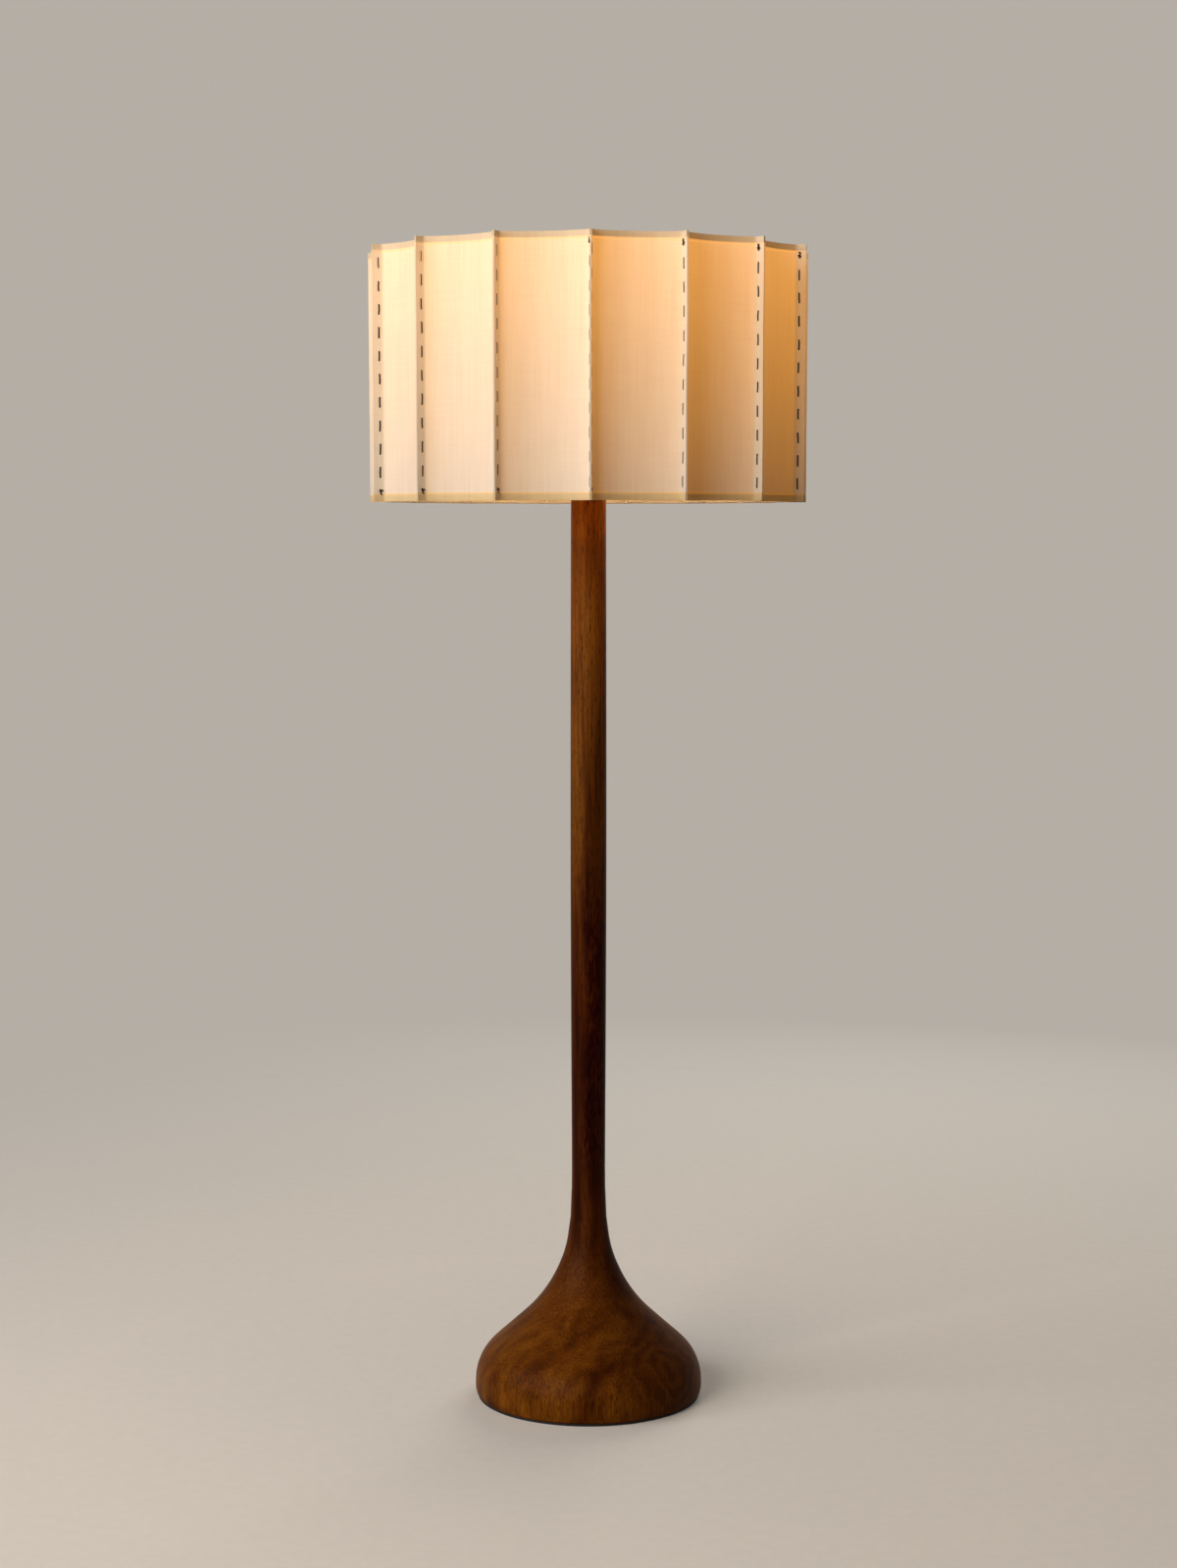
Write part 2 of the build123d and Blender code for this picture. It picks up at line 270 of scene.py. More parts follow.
@dataclass(frozen=True)
class Finish:
    """What a surface is finished in, with the record's slot that it stands for."""

    name: str
    slot: str

    def material(self) -> bpy.types.Material:
        """The finish's material, made when it is first asked for."""
        title = f"{self.name}_finish"
        return bpy.data.materials.get(title) or self.make(Graph(bpy.data.materials.new(title)))

    def make(self, graph: Graph) -> bpy.types.Material:
        """Write the material's nodes into an empty graph."""
        raise NotImplementedError

    def dress(self, piece: bpy.types.Object) -> None:
        """Give the whole piece this finish."""
        if not piece.material_slots:
            piece.data.materials.append(None)
        for place in piece.material_slots:
            place.material = self.material()


@dataclass(frozen=True)
class Walnut(Finish):
    """Oiled walnut: straight in the pole, swirling over the belly of the base, darkest round the joint, with
    painted shade and light in its tones by height.
    """

    light: Colour
    middle: Colour
    dark: Colour
    red: Colour
    pore: Colour
    # Tones by height: partly the wood's own tone, partly painted shade and light.
    tones_and_painted_light: tuple[Stop, ...]
    belly_end: Span = (0.12, 0.2)
    pole_drift: Grain = Grain(9.0, (1.0, 1.0, 0.3))
    pole_reach: Triple = (0.012, 0.012, 0.0)
    pole_lean: Triple = (1.2, 1.6, 0.0)
    pole_offset: Triple = (0.026, 0.03, 0.0)
    pole_streak: Grain = Grain(70.0, (1.0, 1.0, 0.05), 3.0)
    even: Colour = (0.14, 0.043, 0.0046)
    # Painted shade: a darker strip down the front of the pole, between its lit sides.
    even_from: Span = (0.85, 1.05)
    front_shade: Colour = (0.72, 0.62, 0.6)
    front_shade_place: float = 0.005
    front_shade_width: float = 0.012
    front_shade_core: float = 0.3
    front_shade_reach: Triple = (0.03, 0.0, 0.0)
    front_shade_facing: Span = (-0.01, 0.0)
    front_shade_stops: Span = (0.88, 1.0)
    front_shade_returns: Span = (1.05, 1.12)
    heart: Colour = (0.36, 0.08, 0.5)
    heart_starts: Span = (0.24, 0.33)
    heart_stops: Span = (0.6, 0.72)
    heart_side: Span = (-0.014, -0.004)
    heart_fleck: Grain = Grain(330.0, (1.0, 1.0, 0.22))
    belly_drift: Grain = Grain(8.0)
    belly_reach: Triple = (0.06, 0.06, 0.06)
    belly_slant: Triple = (-12.0, -38.0, 0.0)
    belly_patch: Grain = Grain(17.0, (1.0, 1.0, 0.3))
    belly_line: Grain = Grain(60.0, (1.0, 1.0, 0.16))
    foot_line: Grain = Grain(75.0, (1.0, 1.0, 0.04), 2.5)
    foot_end: Span = (0.035, 0.07)
    line_tints: tuple[Stop, Stop] = ((0.36, (0.74, 0.64, 0.55)), (0.6, (1.16, 1.14, 1.05)))
    knot_place: Triple = (0.11, -0.085, 0.055)
    knot_ring: float = 0.021
    knot_reach: float = 0.15
    knot_wobble: Grain = Grain(26.0, detail=3.0)
    knot_wobble_reach: float = 0.06
    fibre: Grain = Grain(480.0, (1.0, 1.0, 0.03), 3.0)
    fibre_tints: tuple[Stop, Stop] = ((0.32, (0.66, 0.6, 0.52)), (0.62, (1.12, 1.1, 1.06)))
    open_pore: Grain = Grain(800.0, (1.0, 1.0, 0.09), 1.0)
    pore_edge: Span = (0.6, 0.68)
    grain_depth: float = 0.00012

    def straight(self, graph: Graph, place: Socket) -> Socket:
        """The pole's long quiet streaks, even at the top, with a painted shade strip down the front and a
        flecked dark heart.

        Args:
            graph: The material.
            place: Place in the lamp's frame.

        Returns:
            The colour.
        """
        height = graph.axis(place, "Z")
        drift = graph.drift(place, self.pole_drift)
        grown = graph.turned(place, self.pole_lean, self.pole_offset)
        broad = graph.cloud(graph.bent(grown, drift, self.pole_reach), self.pole_streak)
        streaked = graph.ramp(broad, (0.34, self.dark), (0.47, self.middle), (0.62, self.light))
        calmed = graph.blend(graph.span(height, *self.even_from, 0.0, 0.5), streaked, self.even)
        # Painted shade: a darker strip down the pole's front, strongest just under the shade.
        beside = graph.axis(graph.bent(place, drift, self.front_shade_reach), "X")
        distance = graph.number("ABSOLUTE", graph.sum(beside, -self.front_shade_place))
        front_shade = graph.span(distance, self.front_shade_core * self.front_shade_width, self.front_shade_width, 1.0, 0.0)
        front = graph.span(graph.axis(place, "Y"), *self.front_shade_facing, 1.0, 0.0)
        lower = graph.span(height, *self.front_shade_stops, 1.0, 0.0)
        upper = graph.span(height, *self.front_shade_returns, 0.0, 0.8)
        front_shaded = graph.tinted(calmed, self.front_shade, graph.times(front_shade, front, graph.sum(lower, upper)))
        flecks = graph.span(graph.cloud(place, self.heart_fleck), 0.4, 0.57, 0.15, 1.0)
        above = graph.span(height, *self.heart_starts)
        below = graph.span(height, *self.heart_stops, 1.0, 0.0)
        side = graph.span(beside, *self.heart_side)
        return graph.tinted(front_shaded, self.heart, graph.times(above, below, flecks, side))

    def swirled(self, graph: Graph, place: Socket) -> Socket:
        """The slanting figure of the base, with upright streaks at its foot and a dark red knot on its right.

        Args:
            graph: The material.
            place: Place in the lamp's frame.

        Returns:
            The colour.
        """
        bent = graph.bent(place, graph.drift(place, self.belly_drift), self.belly_reach)
        slanted = graph.turned(bent, self.belly_slant)
        patches = graph.cloud(slanted, self.belly_patch)
        patched = graph.ramp(patches, (0.3, self.dark), (0.4, self.middle), (0.5, self.light))
        above = graph.span(graph.axis(place, "Z"), *self.foot_end)
        lines = graph.blend(above, graph.cloud(bent, self.foot_line), graph.cloud(slanted, self.belly_line))
        streaked = graph.tinted(patched, graph.ramp(lines, *self.line_tints))
        away = graph.length(graph.vector("SUBTRACT", bent, self.knot_place))
        reach = graph.sum(away, graph.times(graph.cloud(place, self.knot_wobble), self.knot_wobble_reach))
        years = graph.number("FRACT", graph.times(reach, 1.0 / self.knot_ring))
        arcs = graph.ramp(years, (0.0, self.middle), (0.6, self.red), (0.85, self.dark), (1.0, self.middle))
        near = graph.span(reach, 0.5 * self.knot_reach, self.knot_reach, 0.7, 0.0)
        return graph.blend(near, streaked, arcs)

    def make(self, graph: Graph) -> bpy.types.Material:
        """Write the wood: its figure, its tones by height with their painted shade and light, its fibres and
        its open pores.

        Args:
            graph: The empty material.

        Returns:
            The finished material.
        """
        place = graph.object_place()
        height = graph.axis(place, "Z")
        neck = graph.span(height, *self.belly_end)
        figure = graph.blend(neck, self.swirled(graph, place), self.straight(graph, place))
        low, high = self.tones_and_painted_light[0][0], self.tones_and_painted_light[-1][0]
        stops = [((level - low) / (high - low), tone) for level, tone in self.tones_and_painted_light]
        # Painted shade and light by height, mixed with the wood's own tones.
        toned_and_lit = graph.tinted(figure, graph.ramp(graph.span(height, low, high), *stops))
        fibre = graph.cloud(place, self.fibre)
        grained = graph.tinted(toned_and_lit, graph.ramp(fibre, *self.fibre_tints))
        pores = graph.span(graph.cloud(place, self.open_pore), *self.pore_edge)
        relief = graph.sum(graph.times(fibre, 0.4), graph.times(pores, -1.0))
        return graph.surface(
            Base_Color=graph.blend(graph.times(pores, 0.7), grained, self.pore),
            Roughness=graph.sum(graph.times(fibre, 0.2), 0.32),
            Specular_IOR_Level=0.03,
            Normal=graph.relief(relief, self.grain_depth, 0.6),
        )


@dataclass(frozen=True)
class Parchment(Finish):
    """Laid parchment with the bulb's light through it painted as glow, brighter and yellower towards the top.
    """

    base: Colour
    glows: tuple[Colour, Colour, Colour]
    low_tint: Colour = WHITE
    # Painted light: the fins' glow, dim at the bottom and bright at the top, standing in for light shining
    # through the fins.
    fin_glows: tuple[Colour, Colour] = ((0.11, 0.045, 0.012), (0.41, 0.185, 0.05))
    heights: Span = (1.17, 1.5)
    mottle: Grain = Grain(38.0, detail=4.0)
    mottle_tint: float = 0.97
    weave: tuple[tuple[Grain, float], ...] = (
        (Grain(620.0, (1.0, 0.02, 1.0)), 0.4),
        (Grain(780.0, (0.02, 1.0, 1.0)), 0.3),
        (Grain(130.0, (1.0, 0.03, 1.0)), 0.3),
    )
    weave_tints: tuple[Stop, Stop] = ((0.35, (0.93, 0.92, 0.9)), (0.65, (1.04, 1.04, 1.04)))
    weave_depth: float = 0.00008

    def make(self, graph: Graph) -> bpy.types.Material:
        """Write the parchment: mottled and laid, with the bulb's light painted as glow in its open parts and
        its fins.

        Args:
            graph: The empty material.

        Returns:
            The finished material.
        """
        place = graph.object_place()
        flat = graph.sheet_place()
        up = graph.span(graph.axis(place, "Z"), *self.heights)
        mottle = graph.cloud(place, self.mottle)
        weave = graph.sum(*[graph.times(graph.cloud(flat, grain), share) for grain, share in self.weave])
        dark = tuple(self.mottle_tint * part for part in self.base)
        tint = graph.ramp(mottle, (0.3, dark), (0.7, self.base))
        shaded = graph.tinted(tint, graph.blend(up, self.low_tint, WHITE))
        skin_glow = graph.ramp(up, *zip((0.0, 0.5, 1.0), self.glows))
        clouded = graph.span(mottle, 0.25, 0.75, 0.98, 1.02)
        threaded = graph.span(weave, 0.35, 0.65, 0.95, 1.04)
        return graph.surface(
            Base_Color=graph.tinted(shaded, graph.ramp(weave, *self.weave_tints)),
            Roughness=graph.span(mottle, 0.3, 0.7, 0.62, 0.78),
            Specular_IOR_Level=0.25,
            Sheen_Weight=0.08,
            # Painted light: the bulb's light through the sheet and its fins, given as glow.
            Emission_Color=graph.blend(graph.marked("fin"), skin_glow, graph.blend(up, *self.fin_glows)),
            Emission_Strength=graph.times(graph.marked("painted_glow_share"), clouded, threaded),
            Normal=graph.relief(weave, self.weave_depth, 0.5),
        )


@dataclass(frozen=True)
class Thread(Finish):
    """Waxed lacing thread, dark brown with lighter worn fibres."""

    dark: Colour
    worn: Colour
    fibre: Grain = Grain(2600.0, (1.0, 1.0, 0.25))
    depth: float = 0.0001

    def make(self, graph: Graph) -> bpy.types.Material:
        """Write the thread: fibres that run along it."""
        fibre = graph.cloud(graph.object_place(), self.fibre)
        return graph.surface(
            Base_Color=graph.ramp(fibre, (0.35, self.dark), (0.72, self.worn)),
            Roughness=graph.span(fibre, 0.3, 0.7, 0.45, 0.7),
            Normal=graph.relief(fibre, self.depth, 0.7),
        )


@dataclass(frozen=True)
class Speckled(Finish):
    """A plain finish with its own grain: felt, rubber, moulding, paint, casting or metal."""

    colour: Colour
    second: Colour
    scale: float
    rough: Span
    depth: float
    metal: float = 0.0
    pace: Triple = EVEN
    glow: float = 0.0
    sheen: float = 0.0
    wear: Grain = Grain(45.0, detail=3.0)

    def make(self, graph: Graph) -> bpy.types.Material:
        """Write the finish: two colours in grain and wear.

        Args:
            graph: The empty material.

        Returns:
            The finished material.
        """
        place = graph.object_place()
        grain = graph.cloud(place, Grain(self.scale, self.pace, 3.0))
        worn = graph.times(graph.sum(grain, graph.cloud(place, self.wear)), 0.5)
        mixed = graph.ramp(worn, (0.35, self.colour), (0.65, self.second))
        return graph.surface(
            Base_Color=mixed,
            Roughness=graph.span(grain, 0.3, 0.7, *self.rough),
            Metallic=self.metal,
            Sheen_Weight=self.sheen,
            Emission_Color=mixed,
            Emission_Strength=self.glow,
            Normal=graph.relief(grain, self.depth, 0.7),
        )


WALNUT = Walnut(
    "walnut",
    "walnut",
    light=(0.17, 0.056, 0.006),
    middle=(0.115, 0.033, 0.0035),
    dark=(0.06, 0.014, 0.0015),
    red=(0.05, 0.009, 0.0015),
    pore=(0.012, 0.004, 0.001),
    # Tones by height, partly the walnut's own tone and partly painted shade and light: darker down the middle
    # of the pole, lighter towards the shade.
    tones_and_painted_light=(
        (0.0, (1.14, 1.12, 0.78)),
        (0.12, (0.97, 0.92, 0.72)),
        (0.17, (0.68, 0.56, 0.5)),
        (0.23, (0.6, 0.45, 0.5)),
        (0.3, (0.5, 0.36, 0.55)),
        (0.49, (0.6, 0.37, 0.34)),
        (0.62, (0.7, 0.54, 0.54)),
        (0.75, (1.05, 1.05, 1.0)),
        (0.88, (1.42, 1.55, 1.85)),
        (1.05, (1.42, 1.42, 1.45)),
        (1.11, (1.42, 1.38, 1.35)),
        # Painted light: the bulb's glow on the top of the pole just under the shade.
        (1.165, (2.3, 2.1, 1.2)),
    ),
)
# Painted light: glow by height for the outer skin, the inside and the hem, standing in for the bulb's light
# through the parchment.
SKIN_GLOWS = ((0.23, 0.075, 0.001), (0.48, 0.18, 0.014), (0.76, 0.305, 0.045))
INNER_GLOWS = ((0.14, 0.06, 0.015), (0.2, 0.08, 0.02), (0.3, 0.14, 0.04))
PARCHMENT = Parchment("parchment", "parchment", (0.735, 0.72, 0.645), SKIN_GLOWS)
INNER_PARCHMENT = Parchment("parchment_inside", "parchment", (0.78, 0.74, 0.67), INNER_GLOWS)
HEM_TAPE = Parchment("hem_tape", "parchment", (0.8, 0.68, 0.51), SKIN_GLOWS, low_tint=(0.96, 0.9, 0.7))
LACE = Thread("lace_thread", "lace_thread", (0.006, 0.003, 0.0015), (0.024, 0.012, 0.006))
FELT = Speckled(
    "felt", "felt", (0.004, 0.0038, 0.0035), (0.011, 0.01, 0.009), 1400.0, (0.85, 1.0), 0.0003, sheen=0.05
)
RUBBER = Speckled(
    "rubber", "rubber", (0.018, 0.017, 0.016), (0.03, 0.029, 0.028), 900.0, (0.45, 0.62), 0.00005
)
MOULDING = Speckled(
    "moulding", "bakelite", (0.016, 0.013, 0.012), (0.035, 0.028, 0.024), 260.0, (0.28, 0.42), 0.00003
)
CAST_IRON = Speckled(
    "cast_iron", "cast_iron", (0.05, 0.048, 0.046), (0.11, 0.105, 0.1), 700.0, (0.55, 0.75), 0.0003, 0.6
)
ZINC = Speckled(
    "zinc_steel", "zinc_steel", (0.42, 0.42, 0.4), (0.62, 0.61, 0.57), 900.0, (0.28, 0.42), 0.00003, 1.0,
    (1.0, 1.0, 0.05),
)
BRASS = Speckled(
    "brass", "brass", (0.55, 0.36, 0.13), (0.78, 0.56, 0.25), 900.0, (0.25, 0.4), 0.00002, 1.0,
    (1.0, 0.05, 1.0),
)
CAP_METAL = Speckled(
    "cap_metal", "bulb_glass", (0.62, 0.61, 0.58), (0.78, 0.77, 0.74), 700.0, (0.25, 0.4), 0.00002, 1.0,
    (1.0, 1.0, 0.2),
)
FRAME_PAINT = Speckled(
    "frame_paint", "frame_paint", (0.52, 0.45, 0.33), (0.6, 0.53, 0.41), 1300.0, (0.4, 0.55), 0.00004
)
FROSTED_GLASS = Speckled(
    "frosted_glass", "bulb_glass", (0.98, 0.84, 0.62), (1.0, 0.9, 0.72), 160.0, (0.3, 0.4), 0.00002, glow=1.0
)


def new_piece(
    name: str, points: list[Vector], faces: list[Face], sharp: float = SHARP
) -> bpy.types.Object:
    """Make a smooth-shaded mesh object.

    Args:
        name: The piece's name.
        points: The mesh's points.
        faces: The mesh's faces.
        sharp: Edges that turn by more than this many degrees stay sharp.

    Returns:
        The new object, linked to the scene.
    """
    mesh = bpy.data.meshes.new(name)
    mesh.from_pydata(points, [], faces)
    mesh.validate()
    mesh.shade_smooth()
    mesh.set_sharp_from_angle(angle=math.radians(sharp))
    piece = bpy.data.objects.new(name, mesh)
    bpy.context.scene.collection.objects.link(piece)
    return piece


def settle(piece: bpy.types.Object, body: Body, finish: Finish, *nodes: str) -> bpy.types.Object:
    """Dress a piece, put it on its body and let it stand for its nodes.

    Args:
        piece: The piece.
        body: The body that it rides on.
        finish: The finish of the whole piece.
        *nodes: The nodes that it stands for.

    Returns:
        The piece.
    """
    finish.dress(piece)
    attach(piece, body.value)
    if nodes:
        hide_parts(*nodes)
    LOG.info("%s rides on %s", piece.name, body.value)
    return piece


def ramped(value: float, low: float, high: float) -> float:
    """How far a value is from low to high, held between 0 and 1."""
    return min(1.0, max(0.0, (value - low) / (high - low)))


def facing(angle: float) -> Vector:
    """The level direction at an angle about the lamp's axis."""
    return Vector((math.cos(angle), math.sin(angle)))


def groove(angle: float, height: float, pitch: float, depth: float) -> float:
    """How far a round screw thread dips at an angle and a height, as a number below 0."""
    turn = height / pitch - angle / (2 * math.pi)
    return -depth * (0.5 - 0.5 * math.cos(2 * math.pi * turn))


def spline(points: list[Vector], step: float) -> list[Vector]:
    """Walk along a smooth curve through every point.

    Args:
        points: The points of the curve.
        step: The longest distance between two places.

    Returns:
        Places along the curve, both ends included.
    """
    padded = [points[0] * 2 - points[1], *points, points[-1] * 2 - points[-2]]
    walked = []
    for before, start, end, after in zip(padded, padded[1:], padded[2:], padded[3:]):
        cuts = max(1, math.ceil((end - start).length / step))
        for cut in range(cuts):
            share = cut / cuts
            rise = (end - before) * share
            bow = (before * 2 - start * 5 + end * 4 - after) * share**2
            twist = (start * 3 - before - end * 3 + after) * share**3
            walked.append((start * 2 + rise + bow + twist) / 2)
    return [*walked, points[-1].copy()]


def eased(corners: list[Point], radius: float, cuts: int = 3) -> list[Point]:
    """Round the corners of an open outline.

    Args:
        corners: The outline's corners.
        radius: How far from a corner its rounding starts.
        cuts: Steps round each corner.

    Returns:
        The outline with each inner corner rounded.
    """
    path = [Vector(corner) for corner in corners]
    outline = [corners[0]]
    for before, here, after in zip(path, path[1:], path[2:]):
        reach = min(radius, (here - before).length * EASE_SHARE, (after - here).length * EASE_SHARE)
        start = here + (before - here).normalized() * reach
        end = here + (after - here).normalized() * reach
        for cut in range(cuts + 1):
            share = cut / cuts
            bend = start * (1 - share) ** 2 + here * (2 * share * (1 - share)) + end * share**2
            outline.append((bend.x, bend.y))
    return [*outline, corners[-1]]


def joined(rings: list[list[int]], closed: bool = False) -> list[Face]:
    """Join each ring of points to the next by faces.

    Args:
        rings: The numbers of each ring's points. A ring on the axis repeats one number.
        closed: True if the last ring is joined to the first.

    Returns:
        The faces.
    """
    faces = []
    pairs = list(zip(rings, rings[1:]))
    if closed:
        pairs.append((rings[-1], rings[0]))
    for low, high in pairs:
        for side in range(len(low)):
            other = (side + 1) % len(low)
            corners = (low[side], low[other], high[other], high[side])
            faces.append(tuple(dict.fromkeys(corners)))
    return faces


def lathe(
    name: str,
    outline: list[Point],
    sides: int,
    relief: Callable[[float, float, float], float] | None = None,
    sharp: float = SHARP,
) -> bpy.types.Object:
    """Turn an outline about the lamp's axis.

    Args:
        name: The piece's name.
        outline: Radius and height of each point, upwards on the outside. A closed outline repeats its
            first point, and an open one starts and ends on the axis.
        sides: Steps round the axis.
        relief: What is added to the radius at an angle, radius and height.
        sharp: Edges that turn by more than this many degrees stay sharp.

    Returns:
        The turned piece.
    """
    closed = outline[0] == outline[-1]
    rows = outline[:-1] if closed else outline
    points = []
    rings = []
    for radius, height in rows:
        if radius < ON_AXIS:
            rings.append([len(points)] * sides)
            points.append(Vector((0.0, 0.0, height)))
            continue
        rings.append([len(points) + side for side in range(sides)])
        for side in range(sides):
            angle = 2 * math.pi * side / sides
            out = radius + (relief(angle, radius, height) if relief else 0.0)
            points.append(Vector((out * math.cos(angle), out * math.sin(angle), height)))
    return new_piece(name, points, joined(rings, closed), sharp)


@dataclass
class TurnedStand:
    """The wooden stand: felt pad, trumpet base with its cord bushing, and slender pole."""

    sides: int = 160
    foot_radius: float = 0.1462
    edge: float = 0.0012
    foot_edge: float = 0.0022
    recess_radius: float = 0.095
    recess_top: float = 0.038
    bore: float = 0.0053
    socket_radius: float = 0.0141
    socket_depth: float = 0.026
    joint_radius: float = 0.0236
    joint_groove: float = 0.0004
    belly: tuple[Point, ...] = (
        (0.1479, 0.016), (0.1449, 0.039), (0.1324, 0.0618), (0.103, 0.0888), (0.0735, 0.116),
        (0.0532, 0.1417), (0.0385, 0.169), (0.0290, 0.1965),
    )
    neck: tuple[Point, ...] = ((0.02245, 0.262), (0.0218, 0.3), (0.0229, 0.5), (0.0236, 0.73), (0.0234, 1.0))
    pole_radius: float = 0.0229
    tenon_gap: float = 0.0001
    base_step: float = 0.003
    pole_step: float = 0.02
    outlet_height: float = 0.012
    outlet_radius: float = 0.006
    outlet_bore: float = 0.004
    outlet_spare: float = 0.01
    outlet_sides: int = 40
    lip: float = 0.0009
    weld: float = 0.00002

    def __post_init__(self) -> None:
        """Read the levels that the frame gives."""
        self.pad_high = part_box("foot_pad")[1]
        self.base_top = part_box("base")[1].z
        self.pole_low, self.pole_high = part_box("pole")
        self.bushing_low, self.bushing_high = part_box("cord_bushing")

    def build(self) -> None:
        """Build the stand's pieces and dress what the frame already shows."""
        settle(self.pad(), Body.STAND, FELT, "foot_pad")
        settle(self.base(), Body.STAND, WALNUT, "base")
        settle(self.bushing(), Body.STAND, RUBBER, "cord_bushing")
        settle(self.pole(), Body.STAND, WALNUT, "pole")
        for node, finish in (("base_weight", CAST_IRON), ("base_nut", ZINC), ("lamp_pipe", ZINC)):
            finish.dress(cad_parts[node])

    def pad(self) -> bpy.types.Object:
        """The felt disc, with a soft edge."""
        radius = self.pad_high.x
        top = self.pad_high.z
        rim = [(0.0, 0.0), (radius, 0.0), (radius, top), (0.0, top)]
        return lathe("felt_pad", eased(rim, self.edge), self.sides)

    def base(self) -> bpy.types.Object:
        """The base: a smooth turned outside, its recess, its bores and the cord outlet."""
        foot = self.pad_high.z
        top = self.base_top
        start = (self.foot_radius, foot + self.foot_edge)
        end = (self.joint_radius, top - self.joint_groove)
        turned = [Vector(point) for point in (start, *self.belly, end)]
        outside = [(place.x, place.y) for place in spline(turned, self.base_step)]
        socket = top - self.socket_depth
        inside = [
            (self.joint_radius - self.joint_groove, top),
            (self.socket_radius, top),
            (self.socket_radius, socket),
            (self.bore, socket),
            (self.bore, self.recess_top),
            (self.recess_radius, self.recess_top),
            (self.recess_radius, foot),
            (self.foot_radius - self.foot_edge, foot),
        ]
        piece = lathe("turned_base", [*outside, *inside, outside[0]], self.sides)
        self.drill(piece)
        return piece

    def lie(self, piece: bpy.types.Object, start: float) -> None:
        """Lay a turned piece along the cord outlet, from a distance behind the axis."""
        place = Matrix.Translation((0.0, start, self.outlet_height))
        piece.data.transform(place @ Matrix.Rotation(math.radians(-90), 4, "X"))

    def drill(self, piece: bpy.types.Object) -> None:
        """Cut the cord outlet through the back of the base, and clean the cut's edges.

        Args:
            piece: The turned base.
        """
        radius = self.outlet_radius
        length = self.bushing_high.y - self.recess_radius + 2 * self.outlet_spare
        rod = lathe("drill", [(0.0, 0.0), (radius, 0.0), (radius, length), (0.0, length)], self.outlet_sides)
        self.lie(rod, self.recess_radius - self.outlet_spare)
        cut = piece.modifiers.new("outlet", "BOOLEAN")
        cut.operation = "DIFFERENCE"
        cut.object = rod
        bpy.context.view_layer.update()
        drilled = bpy.data.meshes.new_from_object(piece.evaluated_get(bpy.context.evaluated_depsgraph_get()))
        piece.modifiers.clear()
        piece.data = drilled
        bpy.data.objects.remove(rod)
        mesh = bmesh.new()
        mesh.from_mesh(drilled)
        bmesh.ops.remove_doubles(mesh, verts=mesh.verts, dist=self.weld)
        bmesh.ops.dissolve_degenerate(mesh, edges=mesh.edges, dist=self.weld)
        mesh.to_mesh(drilled)
        mesh.free()

    def bushing(self) -> bpy.types.Object:
        """The rubber bushing with its rounded lip, lying along the outlet."""
        length = self.bushing_high.y - self.bushing_low.y
        outer = self.bushing_high.x
        bore = self.outlet_bore
        half = (bore, length / 2)
        wall = [half, (bore, 0.0), (outer, 0.0), (outer, length), (bore, length), half]
        piece = lathe("outlet_bushing", eased(wall, self.lip), self.outlet_sides)
        self.lie(piece, self.bushing_low.y)
        return piece

    def pole(self) -> bpy.types.Object:
        """The pole: a flowing neck, a faint swell and a tenon in the base."""
        joint, low, top = self.base_top, self.pole_low.z, self.pole_high.z
        foot = (self.joint_radius, joint + self.joint_groove)
        turned = [Vector(point) for point in (foot, *self.neck, (self.pole_radius, top - self.edge))]
        outside = [(place.x, place.y) for place in spline(turned, self.pole_step)]
        tenon = self.socket_radius - self.tenon_gap
        inside = [
            (self.pole_radius - self.edge, top),
            (self.bore, top),
            (self.bore, low),
            (tenon, low),
            (tenon, joint),
            (self.joint_radius - self.joint_groove, joint),
        ]
        return lathe("turned_pole", [*outside, *inside, outside[0]], self.sides)


